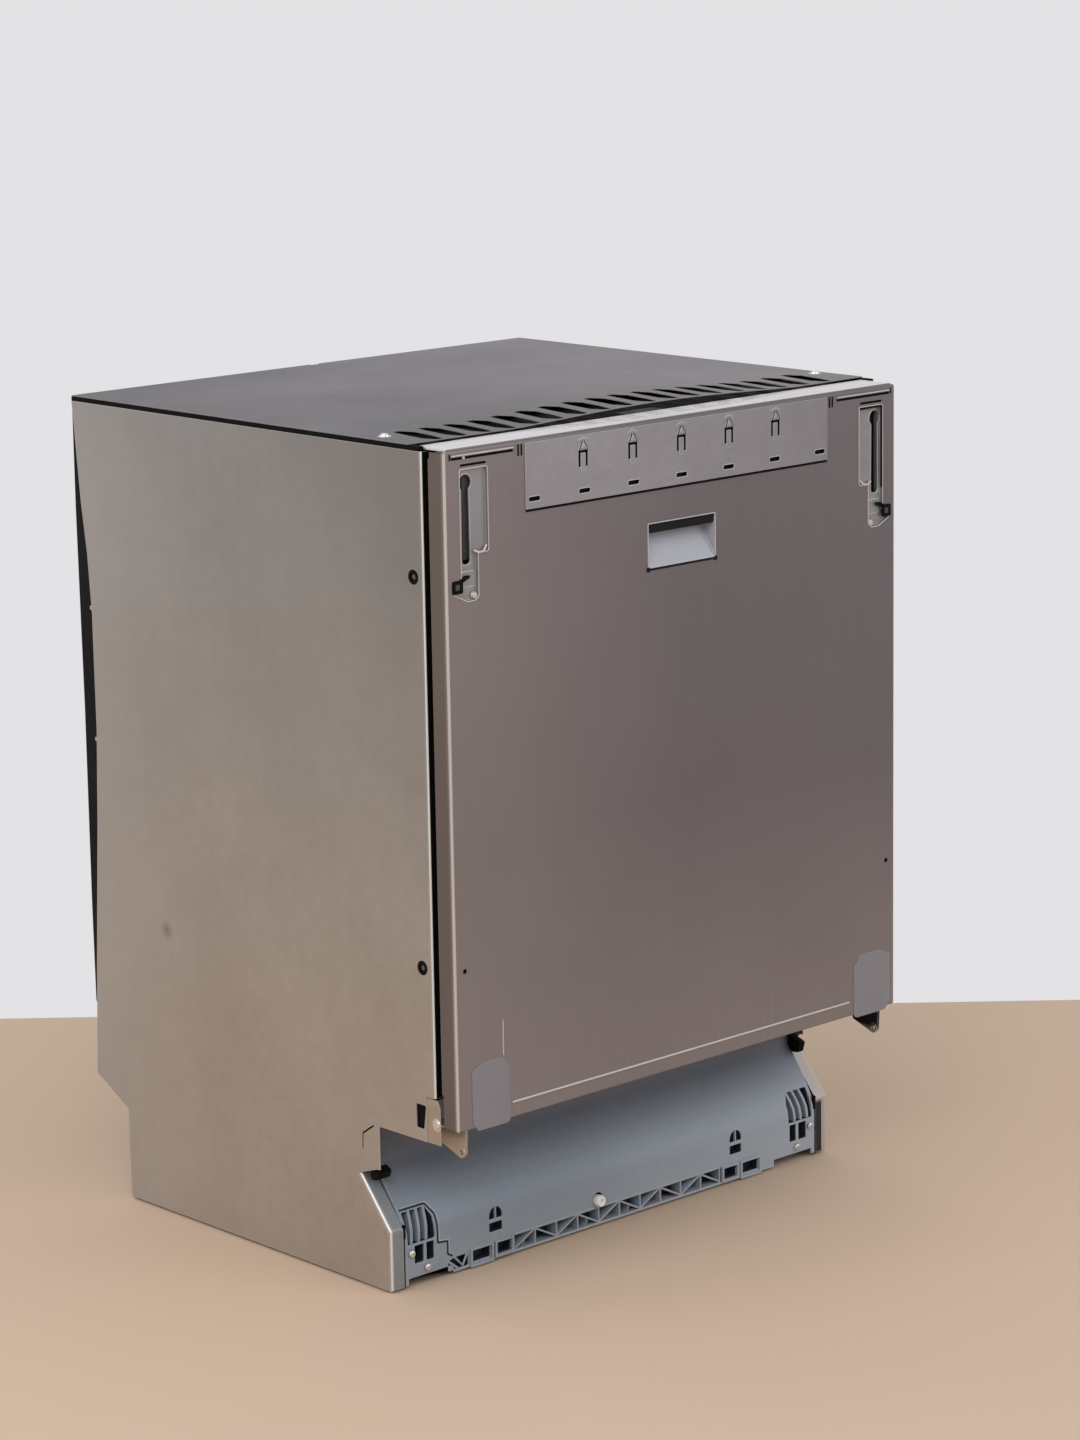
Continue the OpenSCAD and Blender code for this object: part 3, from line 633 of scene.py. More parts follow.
def plate_steel():
    """Punched zinc plate at the top of the door, darker to the right as painted shading, with lighter edges
    as rubbed wear and painted highlight.
    """
    look = Look("plate_steel", tone(146, 145, 153), 0.44, metallic=0.5)
    # Painted shading: darker towards the right.
    look.tint(look.along("X", -0.1, 0.2, 0.0, 0.7), tone(130, 128, 132))
    look.shade(look.noise(16, 4), 0.05).shade(look.cells(160), 0.02)
    look.edge_wear_and_highlight(tone(222, 220, 220), 0.0009, 0.8)
    look.vary_rough(look.noise(40, 4), 0.16)
    look.bump(look.noise(800, 2), 0.00001)
    return look.done()


def highlight_zinc():
    """Rolled edges and welts on the door, in a lighter copy of the door's metal as a painted highlight."""
    look = Look("highlight_zinc", tone(196, 190, 186), 0.34, metallic=0.45)
    look.shade(look.noise(60, 4), 0.06)
    look.vary_rough(look.noise(90, 4), 0.2)
    look.bump(look.noise(500, 2), 0.00001)
    return look.done()


def pressed_zinc():
    """Light keyhole brackets, with lighter edges as rubbed wear and painted highlight."""
    look = Look("pressed_zinc", tone(140, 141, 145), 0.4, metallic=0.45)
    look.shade(look.noise(35, 4), 0.07)
    look.edge_wear_and_highlight(tone(228, 230, 230), 0.0012, 0.7)
    look.vary_rough(look.noise(70, 4), 0.2)
    look.bump(look.noise(300, 3), 0.00003)
    return look.done()


def satin_steel(name="satin_steel", colour=(178, 178, 178), grain=(1, 1, 0.03)):
    """Brushed stainless inside the machine."""
    look = Look(name, tone(*colour), 0.3, metallic=0.9)
    brushed = look.noise(900, 3, stretch=grain)
    look.shade(brushed, 0.06).shade(look.noise(5, 3), 0.05)
    look.vary_rough(brushed, 0.12).vary_rough(look.noise(12, 3), 0.08)
    look.bump(brushed, 0.0000015)
    return look.done()


def bright_metal():
    """Screws, rivets and pins."""
    look = Look("bright_metal", tone(222, 222, 220), 0.22, metallic=0.85)
    look.shade(look.noise(220, 4), 0.08)
    look.vary_rough(look.noise(300, 3), 0.2)
    look.bump(look.noise(900, 2), 0.00001)
    return look.done()


def moulded(name, colour, roughness=0.5, coat=0.0):
    """Moulded plastic with a fine skin, faint flow marks and lighter edges, partly rubbed wear and partly a
    painted highlight.
    """
    look = Look(name, tone(*colour), roughness, specular=0.4, coat=coat)
    look.shade(look.noise(9, 4), 0.04).shade(look.noise(160, 3), 0.024)
    look.edge_wear_and_highlight(tone(*[min(255, c + 26) for c in colour]), 0.001, 0.6)
    look.vary_rough(look.noise(60, 4), 0.14)
    look.bump(look.noise(1400, 2), 0.00001).bump(look.noise(40, 2), 0.00005)
    return look.done()


def base_plastic():
    """Blue grey plinth, lighter to the right as painted light, darker in its recesses under the door as a
    painted shadow, dusty low down, with lighter edges as rubbed wear and painted highlight.
    """
    look = Look("base_plastic", tone(128, 139, 152), 0.47, specular=0.4)
    # Painted light: lighter towards the right.
    look.tint(look.along("X", -0.1, 0.26, 0.0, 0.8), tone(158, 168, 180))
    # Painted shadow under the door: darker where the face lies further back.
    look.tint(look.along("Y", FRONT + 0.104, FRONT + 0.137, 0.0, 0.9), tone(84, 90, 102))
    look.shade(look.noise(7, 4), 0.05).shade(look.noise(120, 4), 0.025)
    look.tint(look.product(look.noise(30, 5), look.along("Z", 0.05, 0.0, 0.0, 0.5)), tone(168, 160, 148))
    look.edge_wear_and_highlight(tone(178, 188, 196), 0.0012, 0.7)
    look.vary_rough(look.noise(50, 4), 0.16)
    look.bump(look.noise(1100, 2), 0.000012).bump(look.noise(12, 2), 0.00015)
    return look.done()


def recess_shade_plastic():
    """A darker copy of the plinth's plastic for the ribs and boxes behind its windows: painted shade."""
    look = Look("recess_shade_plastic", tone(38, 44, 54), 0.65, specular=0.25)
    look.shade(look.noise(60, 4), 0.10)
    look.vary_rough(look.noise(50, 4), 0.1)
    look.bump(look.noise(600, 2), 0.00002)
    return look.done()


def felt():
    """Black sound felt."""
    look = Look("felt", tone(24, 24, 25), 0.95, specular=0.15)
    look.shade(look.noise(320, 6, 0.7), 0.5).shade(look.noise(12, 3), 0.25)
    look.vary_rough(look.noise(40, 3), 0.08)
    look.bump(look.noise(900, 6, 0.8), 0.0003).bump(look.noise(45, 3), 0.0008)
    return look.done()


def strip_coat():
    """The pale light strip, its front edge in shade."""
    look = Look("strip_coat", tone(205, 201, 204), 0.3, specular=0.4, coat=0.3)
    look.shade(look.noise(9, 4), 0.03)
    look.tint(look.along("Y", FRONT + 0.0038, FRONT + 0.0030), tone(104, 100, 102))
    look.vary_rough(look.noise(60, 4), 0.14)
    look.bump(look.noise(1400, 2), 0.000001)
    return look.done()


def rubber(name="rubber", colour=(34, 34, 36)):
    look = Look(name, tone(*colour), 0.75, specular=0.1)
    look.shade(look.noise(80, 4), 0.12)
    look.vary_rough(look.noise(120, 3), 0.18)
    look.bump(look.noise(1500, 2), 0.00001)
    return look.done()


def pale_floor():
    look = Look("pale_floor", tone(205, 182, 160), 0.8, specular=0.1)
    look.shade(look.noise(1.5, 4), 0.02)
    look.vary_rough(look.noise(3, 3), 0.1)
    return look.done()


# ---- cabinet ----

SIDE_HOLE_BACK = 42.6
SIDE_HOLES_UP = (694.7, 330.4)
FLANGE_IN = 283     # the inner edge of the side panels' bends
SIDE_REACH = HALF - 0.45


def bend_strip(path, x_in, r):
    """A flange turned in from the side sheet along a path of (back, up), over a bend of radius r."""
    points = [Vector(p) for p in path]
    rings = []
    for i, p in enumerate(points):
        along = (points[min(i + 1, len(points) - 1)] - points[max(i - 1, 0)]).normalized()
        inward = Vector((-along.y, along.x))
        if inward.x < 0:
            inward = -inward
        cross = [(x_in, p), ((x_in + SIDE_REACH) / 2, p)]
        for k in range(7):
            turn = math.pi / 2 * k / 6
            cross.append((SIDE_REACH - r + r * math.sin(turn), p + inward * r * (1 - math.cos(turn))))
        rings.append([(x, q.x, q.y) for x, q in cross])
    return with_modifier(loft(rings, closed=False), "SOLIDIFY", thickness=0.9, offset=0)


def side_outline(knee, rim):
    """The flat of the right side panel, from its top front corner down and round."""
    front = [(31.5, rim), (31.5, 207), (41.5, 207), (41.5, 163), (knee, 163), (knee, 120), (knee + 5, 119.5),
             (140, 111), (140.6, 107.6), (100.4, 59.4), (99.8, 57), (99.8, 2)]
    back = [(500, 2), (500, 94.5), (DEEP, 122), (544, 231), (533, 386), (528, 480), (528, 600), (532, 660),
            (539, 712), (547.5, rim)]
    front_radii = [1, 1, 1, 1, 3, 1, 2, 3, 1, 2, 0, 4]
    back_radii = [4, 5, 4, 60, 60, 40, 40, 30, 40, 2]
    return rounded(front + back, front_radii + back_radii)


def side_sheet(knee):
    """The right side panel: the flat sheet with its cut-outs, and the bends along its front."""
    rim = TOP - 5.4
    bracket_window = oblong(SIDE_HOLE_BACK, 175, 56, 198, 1.2)
    hook = rounded([(117.5, 161.5), (133.2, 150.8), (134, 135), (135.8, 135), (135, 151.8), (118.4, 163)],
                   0.5)
    screw_holes = [circle(SIDE_HOLE_BACK, z, 3.5) for z in SIDE_HOLES_UP]
    sheet = flat(side_outline(knee, rim), [*screw_holes, bracket_window, hook], HALF - 1, HALF, "x")
    front = bend_strip([(29.6, rim), (29.6, 400), (29.6, 207.5)], FLANGE_IN + 2, 2)
    slope = [(p.y, p.z) for p in bent([(0, 139.4, 110.8), (0, 98.2, 61.2), (0, 98.2, 3)], 6)]
    slant = bend_strip(slope, FLANGE_IN, 2.4)
    foot_fold = sweep([(99, 2.5), (499, 2.5)], "x", FLANGE_IN + 2, HALF - 0.5, 0.9)
    back_fold = sweep([(499.5, 3), (499.5, 93)], "x", FLANGE_IN, HALF - 0.5, 0.9)
    clips = [brick(HALF - 1.4, 525, z, HALF - 0.2, 531.5, z + 4, 0.4) for z in (470, 603)]
    return joined(sheet, front, slant, foot_fold, back_fold, *clips)


def add_side_panels(material):
    """The photo shows the right panel's ledge reaching further back than the left one's."""
    piece("side_sheet_right", side_sheet(130), material, "cabinet", "side_panel_right")
    piece("side_sheet_left", mirrored(side_sheet(110)), material, "cabinet", "side_panel_left")


def add_side_plugs(material, grey):
    """Black rings round the fixing holes, with a grey nut behind."""
    ring = [(3.3, -0.9), (3.5, 0.5), (6.4, 0.5), (6.9, 0.0), (6.9, -0.2)]
    nut = [(0, -0.9), (2.4, -0.9), (3.4, -1.6), (3.4, -2.4)]
    places = [(HALF, SIDE_HOLE_BACK, z) for z in SIDE_HOLES_UP]
    piece("side_plug_rings", both(joined(*[turned(ring, at, "x") for at in places])), material, "cabinet")
    piece("side_plug_nuts", both(joined(*[turned(nut, at, "x", 6) for at in places])), grey, "cabinet")


def cover_rise(x, back):
    """How far the cover stands up: its front edge bows between the fixings."""
    middle, reach = 18, 185
    flat_until, ends = 120, 430
    if abs(x - middle) > reach or back > ends:
        return 0
    across = math.cos(math.pi / 2 * (x - middle) / reach) ** 1.2
    along = 1 if back < flat_until else math.cos(math.pi / 2 * (back - flat_until) / (ends - flat_until)) ** 2
    return COVER_BOW * across * along


def cover_slots():
    """The row of leaning vent slots behind the cover's front edge."""
    count, pitch, middle = 18, 30, 81
    lean = math.radians(-10)
    shape = [(-9, 34), (1, 35), (9.2, 22), (9.4, -8), (7.5, -32), (-1, -34), (-9.2, -20), (-9.4, 9)]
    leaning = [(u * math.cos(lean) - v * math.sin(lean), middle + u * math.sin(lean) + v * math.cos(lean))
               for u, v in shape]
    places = [(i - (count - 1) / 2) * pitch for i in range(count)]
    return [rounded([(x + u, v) for u, v in leaning], 4, 3) for x in places]


def cover_screw_places():
    low, high = span("cover_screws")
    inset = 4.5
    return [(side * (high.x - inset), low.y + inset) for side in (-1, 1)]


def add_top_cover(material):
    low, high = span("top_cover")
    half = HALF - 0.3
    notch, notch_x, notch_end = 4, 4, 16    # a small notch in the middle of the rear edge
    holes = [*cover_slots(), *[circle(x, y, 2.2, 16) for x, y in reversed(cover_screw_places())]]
    outline = [(-half, low.y), (half, low.y), (half, high.y), (notch_end, high.y),
               (notch_end, high.y - notch),
               (notch_x, high.y - notch), (notch_x, high.y), (-half, high.y)]
    sheet = flat(rounded(outline, 1.0, 2), holes, TOP - 0.9, TOP, "z", 0.2)
    sheet = sliced(sheet, "x", [-180 + 12 * k for k in range(34)])
    sheet = sliced(sheet, "y", [low.y + 12 * k for k in range(1, 7)] + [130 + 25 * k for k in range(13)])
    sheet = moved(sheet, lambda p: Vector((p.x, p.y, p.z + cover_rise(p.x, p.y))))
    piece("cover_sheet", sheet, material, "cabinet", "top_cover", smooth=25)


def screw_head(centre, axis, r):
    """A domed screw head with a recess, facing along the axis."""
    profile = [(1, 0), (1, 0.25), (0.86, 0.5), (0.5, 0.66), (0.3, 0.68), (0.22, 0.3), (0, 0.28)]
    return turned([(u * r, h * r) for u, h in profile], centre, axis, 20)


def add_cover_screws(material):
    heads = [screw_head((x, y, TOP + 0.1), "z", 4.5) for x, y in cover_screw_places()]
    washer = [(6.4, TOP), (6.4, TOP + 0.5), (5.9, TOP + 0.8), (3, TOP + 0.8)]
    washers = [turned(washer, (x, y, 0), "z", 24) for x, y in cover_screw_places()]
    piece("cover_screw_heads", joined(*heads, *washers), material, "cabinet", "cover_screws")


def add_joint_strips(material):
    """Black strips in the joint between the cover and the side panels, and a black block under the cover's
    front edge and its slots: painted shade in the joint and under the slots.
    """
    front_edge = span("top_cover")[0].y
    side = brick(HALF - 6, 31, TOP - 6.5, HALF - 0.4, DEEP - 2, TOP - 1, 0.4)
    front = brick(-HALF + 6, front_edge + 3, TOP - 16, HALF - 6, 136, TOP - 3.4, 1)
    piece("joint_shade_strips", joined(both(side), front), material, "cabinet")


def add_rear_felt(material):
    wide, front, back = HALF - 1.3, 517, DEEP - 0.8
    bottom, top = 188, 810
    section = rounded([(front, bottom), (front, top), (back - 1, top), (back, 700), (back - 1.5, 500),
                       (back, 300),
                       (back - 0.5, bottom + 8)], [0, 0, 4, 60, 60, 60, 5])
    mesh = loft([[(x, y, z) for y, z in section] for x in (-wide, -150, 0, 150, wide)], True, True)
    piece("rear_felt", mesh, material, "cabinet", "rear_insulation", smooth=60)


def add_hinge_brackets(plate_look, dark_look):
    """The bracket plate that shows beside the door's lower corner, and a black block in the window behind it:
    a painted shadow.
    """
    low, high = span("hinge_brackets")
    ledge = 163.2
    outline = [(low.y, ledge), (low.y, 199), (low.y + 3.5, 206), (41.6, 206), (48, ledge)]
    bore = circle(PIN_AT.y, PIN_AT.z, 4.3)
    face = flat(rounded(outline, [1, 2, 3, 1, 1]), [bore], HALF - 1.6, HALF - 0.55, "x")
    dimple = turned([(4.3, 0.0), (5.0, -0.4), (6.2, 0.05)], (HALF - 0.5, PIN_AT.y, PIN_AT.z), "x", 36)
    wing = sweep([(62.5, high.z), (62.5, low.z), (140, low.z)], "x", FLANGE_IN + 0.5, high.x, 1.4)
    # A black block as the painted shadow in the bracket window.
    shadow = brick(HALF - 9, 41.8, 172, HALF - 2, 57, 201, 0.3)
    piece("bracket_window", both(shadow), dark_look, "cabinet")
    piece("hinge_plates", both(joined(face, dimple, wing)), plate_look, "cabinet", "hinge_brackets")


def add_hinge_pins(material):
    start = 275
    length = PIN[1].x - start
    profile = [(0, 0), (3.6, 0), (4, 0.5), (4, length - 1.6), (4.5, length - 1.4), (4.5, length - 0.2),
               (3.6, length + 0.7), (0, length + 1)]
    pin = turned(profile, (start, PIN_AT.y, PIN_AT.z), "x", 32)
    piece("pin_rivets", both(pin), material, "cabinet", "hinge_pins")


# ---- plinth ----

PLINTH_FRONT = 98       # the depth of the plinth's foot
LATTICE_HALF = 141
LATTICE_LOW, LATTICE_HIGH = 4.4, 19.2
LOUVRES_UP = (43, 73)


def plinth_back(up):
    """How far back the plinth's face is at a height."""
    bends = [(4, PLINTH_FRONT), (48, PLINTH_FRONT), (56, 98.9), (64, 102.2), (74, 107.8), (84, 114.2),
             (94, 121),
             (104, 128), (112, 133.5), (118, 136.6), (126, 138), (162, 138)]
    if up <= bends[0][0]:
        return bends[0][1]
    for (z0, y0), (z1, y1) in zip(bends, bends[1:]):
        if up <= z1:
            return y0 + (y1 - y0) * (up - z0) / (z1 - z0)
    return bends[-1][1]


def on_plinth(path, proud):
    """A path of (x, z) laid on the plinth's face, standing back from it by the distance."""
    return [(x, plinth_back(z) + proud, z) for x, z in path]


def arch(x, z):
    """The outline of a small round-topped window with its base at z."""
    r, spring = 8.5, z + 3
    top = [(x + r * math.cos(a * math.pi / 8), spring + r * math.sin(a * math.pi / 8)) for a in range(1, 8)]
    return [(x - r, z), (x + r, z), (x + r, spring), *top, (x - r, spring)]


def plinth_windows():
    """The openings on the right half of the plinth, deep ones and shallow ones, and one more of the
    left half."""
    low, high = LOUVRES_UP
    deep = [rounded([(243, low), (277.5, low), (277.5, high), (248, high), (243, 63)], [1.5, 1, 2, 3, 3]),
            oblong(244.5, 22.5, 254, 40.5, 1.2), oblong(257.5, 22.5, 269, 40.5, 1.2)]
    shallow = [oblong(146, 6, 165.5, 17.5, 1), oblong(173, 6, 197, 17.5, 1),
               oblong(156.5, 29.5, 173.5, 39, 1), arch(165, 42.5)]
    hook = rounded([(201.5, 4.5), (227, 4.5), (227, 14), (219, 16.5), (201.5, 16.5)], 1)
    return deep, shallow, hook


def sliced_path(path, step=3.0):
    """The path with points added, so that it can follow the plinth's curve."""
    out = [Vector(path[0])]
    for a, b in zip(path, path[1:]):
        a, b = Vector(a), Vector(b)
        count = max(1, round((b - a).length / step))
        out += [a.lerp(b, k / count) for k in range(1, count + 1)]
    return out


def plinth_face():
    half = span("plinth_panel")[1].x
    deep, shallow, hook = plinth_windows()
    right = [*deep, *shallow]
    left = [flipped(loop) for loop in [*right, hook]]
    lattice = [(-LATTICE_HALF, 4.2), (LATTICE_HALF, 4.2), (LATTICE_HALF, 19.2), (-LATTICE_HALF, 19.2)]
    nick = rounded([(-35.5, 27), (-22.5, 27), (-23, 33), (-29, 35.5), (-35, 33)], 2)
    steps = [(half, 3), (277, 3), (277, 9), (221, 9), (221, 2)]
    outline = flipped(steps) + steps[::-1] + [(half, 160), (-half, 160)]
    face = flat(outline, [lattice, nick, *right, *left], 0, 2.6, "y", 0.4)
    face = sliced(face, "z", [47 + 4 * k for k in range(25)])
    face = sliced(face, "x", [-240, -120, 0, 120, 240])
    face = moved(face, lambda p: Vector((p.x, p.y + plinth_back(p.z), p.z)))
    edge = half - 1
    rows = [[(edge, plinth_back(z) + 1, z), (edge, plinth_back(z) + 24, z)] for z in range(6, 161, 7)]
    side = with_modifier(loft(rows, closed=False), "SOLIDIFY", thickness=1.6, offset=0)
    return joined(face, mirrored(side), side)


def plinth_lattice():
    """The open truss along the plinth's foot: uprights, slanting bars and a few short spurs."""
    cells, pitch, thick = 10, 28.5, 0.9
    start, back = -142, 112
    bars = [brick(-221, 97.2, 2, 221, back, LATTICE_LOW, 0.7),
            brick(-LATTICE_HALF - 1, 97.4, 19, LATTICE_HALF + 1, back, 20.8, 0.5)]
    for k in range(cells + 1):
        x = start + k * pitch
        bars.append(brick(x - thick, PLINTH_FRONT, 3, x + thick, back, 20, 0.3))
    for k in range(cells):
        x = start + k * pitch
        heights = (LATTICE_LOW, LATTICE_HIGH) if k % 2 == 0 else (LATTICE_HIGH, LATTICE_LOW)
        a, b = Vector((x, heights[0])), Vector((x + pitch, heights[1]))
        across = Vector((b.y - a.y, a.x - b.x)).normalized() * thick
        bars.append(flat([a + across, b + across, b - across, a - across], [], 98.3, back, "y", 0.2))
        if k in (0, 3, 5):
            middle = x + pitch * 0.5
            spur = [(x + pitch * 0.45, LATTICE_LOW), (middle, 11.8), (middle + 1.2, 11.2)]
            bars.append(flat(spur, [], 99.5, back - 1, "y", 0.1))
    return joined(*bars)


def plinth_louvres(side):
    """The curved fins in one corner opening."""
    low, high = LOUVRES_UP
    fins = []
    for foot in (250, 259, 268.5):
        rail = []
        for z in range(low, high + 2, 3):
            x = side * (foot + 3.4 - 4.4 * ((z - low) / (high - low)) ** 1.6)
            y = plinth_back(z) + 1.2
            rail.append([(x - 1.5, y, z), (x + 1.5, y, z), (x + 1.2, y + 15, z), (x - 1.2, y + 15, z)])
        fins.append(loft(rail, True, True))
    return joined(*fins)


def plinth_frames(side):
    """The raised frames and bars on one half of the plinth."""
    def spread(x0, x1):
        return sorted((side * x0, side * x1))

    out = []
    for x0, x1, z0 in ((143.5, 168, 3.2), (170, 200, 1.2)):
        a, b = spread(x0, x1)
        window = oblong(a + 2.6, z0 + 3, b - 2.6, 18, 1)
        out.append(flat(oblong(a, z0, b, 20.6, 1.5), [window], 95.4, 99, "y", 0.5))
    for x0, x1, y0, z0, y1, z1, bevel in ((242, 278, 97.6, 40.5, 100, 43, 0.5),
                                          (156, 174, 97.4, 39, 101, 41.6, 0.5),
                                          (164.2, 165.8, 98, 42, 101, 54, 0.3)):
        a, b = spread(x0, x1)
        out.append(brick(a, y0, z0, b, y1, z1, bevel))
    return joined(*out)


def plinth_hooks():
    """The small hooked bars at the lower left."""
    paths = [[(-228, 14.5), (-215, 4.5)], [(-219, 16.5), (-209, 6), (-203, 16.5)]]
    return wires([at_depth(path, 98.2) for path in paths], 1.3, 1)


def tray(outline, deep):
    """A box behind a window: walls and a floor."""
    return loft([on_plinth(outline, 1.5), on_plinth(outline, deep)], cap_end=True)


def add_plinth_shell(material):
    corners = [joined(plinth_louvres(side), plinth_frames(side)) for side in (-1, 1)]
    shell = joined(plinth_face(), plinth_lattice(), *corners, plinth_hooks())
    piece("plinth_shell", shell, material, "cabinet", "plinth_panel", smooth=30)


def add_plinth_recesses(material, edge_material):
    """The boxes behind the windows and a sheet behind the lattice, dark as painted shade, and at the left the
    groove that runs round them, a dark line of painted shade beside a lighter line of painted highlight.
    """
    deep, shallow, hook = plinth_windows()
    collar = rounded([(278.5, 75), (247.5, 75), (240, 64.5), (240, 36.5), (227.6, 35), (227.6, 22),
                      (222, 19)],
                     [0, 3, 4, 1, 1, 2, 0])
    # The groove as a dark line: painted shade.
    groove = wires([on_plinth(sliced_path(collar), 0.5)], 1.25, 1)
    # A lighter line outside the groove: a painted highlight.
    outside = [(x - 2, z + 1.6) for x, z in collar]
    edge = wires([on_plinth(sliced_path(outside), 0.15)], 0.6, 1)
    piece("plinth_collar", mirrored(edge), edge_material, "cabinet")
    # Dark boxes behind the windows: painted shade.
    trays = joined(*[tray(loop, 17) for loop in deep], *[tray(loop, 11) for loop in shallow])
    # A dark sheet behind the lattice: painted shade.
    lattice = [(-LATTICE_HALF, 4), (LATTICE_HALF, 4), (LATTICE_HALF, 19.5), (-LATTICE_HALF, 19.5)]
    dark = joined(both(trays), mirrored(joined(groove, tray(hook, 11))),
                  flat(lattice, [], 112, 113, "y", 0.1))
    piece("plinth_recesses", dark, material, "cabinet")


def add_plinth_screws(material):
    low, high = span("plinth_screws")
    depth, r = 97.4, 3.8
    outward = Matrix.Translation((0, 2 * depth, 0)) @ Matrix.Scale(-1, 4, (0, 1, 0))
    heads = []
    for side in (-1, 1):
        for x, z in ((high.x - r, high.z - r), (254, low.z + r)):
            head = screw_head((side * x, depth, z), "y", r)
            head.transform(outward)
            head.flip_normals()
            heads.append(head)
    piece("plinth_screw_heads", joined(*heads), material, "cabinet", "plinth_screws")


def add_adjuster(material):
    low, high = span("rear_adjuster")
    profile = [(0, 3.2), (2.4, 3.0), (2.7, 0.4), (4.6, 0.0), (5.8, 1.4), (6, 3.2), (5.6, 8.6), (4, 8.8),
               (4, 60),
               (0, 60)]
    knob = turned(profile, ((low.x + high.x) / 2, low.y, (low.z + high.z) / 2), "y", 36)
    piece("adjuster_knob", knob, material, "rear_adjuster", "rear_adjuster")


def add_seals_and_gap_shade(material):
    """Black seals where the side sheets' slanted bends end, and black strips in the gaps beside the plinth as
    painted shade.
    """
    seal = rounded([(116, 114), (124, 119), (128, 113), (126, 106), (119, 107)], 2)
    slim_seal = rounded([(116, 118), (134, 124), (134, 108), (126, 106), (119, 107)], 2)
    wide = mirrored(flat(seal, [], 279, 296.8, "x", 1))
    slim = flat(slim_seal, [], 279, 287.5, "x", 1)
    # Black strips and a block in the gaps beside the plinth: painted shade.
    gap = sweep([(98.1, 3), (98.1, 50), (99, 60), (140, 109)], "x", 281.2, 284, 0.5)
    window = brick(279.8, 97.6, 50, 283.6, 101, 64, 0.6)
    piece("edge_seals_and_gap_shade", joined(wide, slim, both(joined(gap, window))), material, "cabinet")


# ---- door ----

FACE_Y = DOOR[0].y
CUP = span("handle_cup")
POCKET_OUT, POCKET_IN = 245, 278
POCKET_TOP, POCKET_STEP = 793.5, 717
STRIP_TOP = STRIP[1].z
PUNCHES = [(i - 2) * 63.3 for i in range(5)]
LOWER_SLOTS = [(i - 3) * 62.7 for i in range(7)]


def pocket_outline(grow=0.0):
    """The keyhole pocket of the right side: wide above, narrow and rounded below."""
    g = grow
    return rounded([(POCKET_OUT - g, POCKET_TOP + g), (POCKET_OUT - g, POCKET_STEP - g),
                    (258 - g, POCKET_STEP - g),
                    (258 - g, 677), (262.5, 674 - g), (272, 674 - g), (287 + g, 681), (286, 685),
                    (POCKET_IN + g, 690), (POCKET_IN + g, POCKET_TOP + g)],
                   [2, 3, 2, 3, 3, 5, 1.5, 1.5, 3, 3])


def add_door_skin(material):
    """The bent steel face, open behind the grip, the punched plate and the keyhole pockets."""
    depth = DOOR[1].y
    top = STRIP_TOP - 1.6
    face_y = FACE_Y + 0.7
    r = 1.6
    slit = oblong(212.6, 802.8, 288, 805.2, 0.8)
    dash = oblong(246, 796.2, 277, 798.4, 0.8)
    screw = circle(284, 332, 2.4, 20)
    behind_plate = oblong(-197, 749.5, 197, 806, 1)
    right = [pocket_outline(), slit, dash, screw]
    holes = [oblong_on(*CUP, -0.3, 1.5), *right, *[flipped(hole) for hole in right], behind_plate]
    face = flat(oblong(-DOOR_X + r, DOOR_LOW + r, DOOR_X - r, top - r), holes, face_y, face_y + 0.9, "y",
                0.05)
    turns = [math.pi / 2 * k / 6 for k in range(7)]
    bend = [(math.sin(turn) * r, face_y + 0.05 + r * (1 - math.cos(turn))) for turn in turns]
    half, inner = 0.4, DOOR_X - r
    sides = sweep([(inner - half + a, b + half) for a, b in bend] + [(DOOR_X - half, depth)], "z",
                  DOOR_LOW + r, top - r, 0.9)
    foot = sweep([(b + half, DOOR_LOW + r + half - a) for a, b in bend] + [(depth, DOOR_LOW + half)], "x",
                 -inner, inner, 0.9)
    head = sweep([(b + half, top - r - half + a) for a, b in bend] + [(8, top - half)], "x", -inner, inner,
                 0.9)
    corner = brick(DOOR_X - 2.2, face_y + half, DOOR_LOW, DOOR_X, depth, DOOR_LOW + 2.2, 0.9)
    tip = brick(DOOR_X - 2.2, face_y + half, top - 2.2, DOOR_X, 12, top, 0.9)
    skin = joined(face, foot, head, both(joined(sides, corner, tip)))
    piece("door_skin", skin, material, "door", "outer_door_panel", smooth=40)


def add_door_trim(material):
    """Welts and rolled edges, lighter than the door as a painted highlight, with a bright curl and a painted
    highlight spot in each pocket.
    """
    ridge_up = DOOR_LOW + 15
    ridge = wires([[(-229, FACE_Y + 0.7, ridge_up), (229, FACE_Y + 0.7, ridge_up)]], 1.15)
    upright = wires([[(-239, FACE_Y + 0.5, 243), (-239, FACE_Y + 0.5, 277)]], 0.8)
    rail = wires([at_depth([(213, 806.6), (288, 806.6)], FACE_Y + 0.4)], 0.75)
    pocket_lip = wires([at_depth(pocket_outline(0.4), FACE_Y + 0.6)], 0.55, 2, closed=True)
    stud = turned([(0, -0.7), (1.3, -0.5), (1.6, 0.4)], (-273.3, FACE_Y, 804.2), "y", 16)
    # The curl at each pocket's step, bright as a painted highlight.
    wave = wires([bent([(246.5, FACE_Y + 2, 722), (251, FACE_Y + 0.6, 717), (257, FACE_Y + 0.4, 716.6),
                        (262, FACE_Y + 2, 719)], 2)], 1.2)
    # A painted highlight spot at each pocket's lower corner.
    highlight_spot = turned([(0, -0.6), (2.6, -0.2), (3.8, 2.0)], (262, FACE_Y + 1, 678), "y", 20)
    trim = joined(ridge, stud, upright, both(joined(rail, pocket_lip, wave, highlight_spot)))
    piece("door_trim", trim, material, "door", smooth=50)


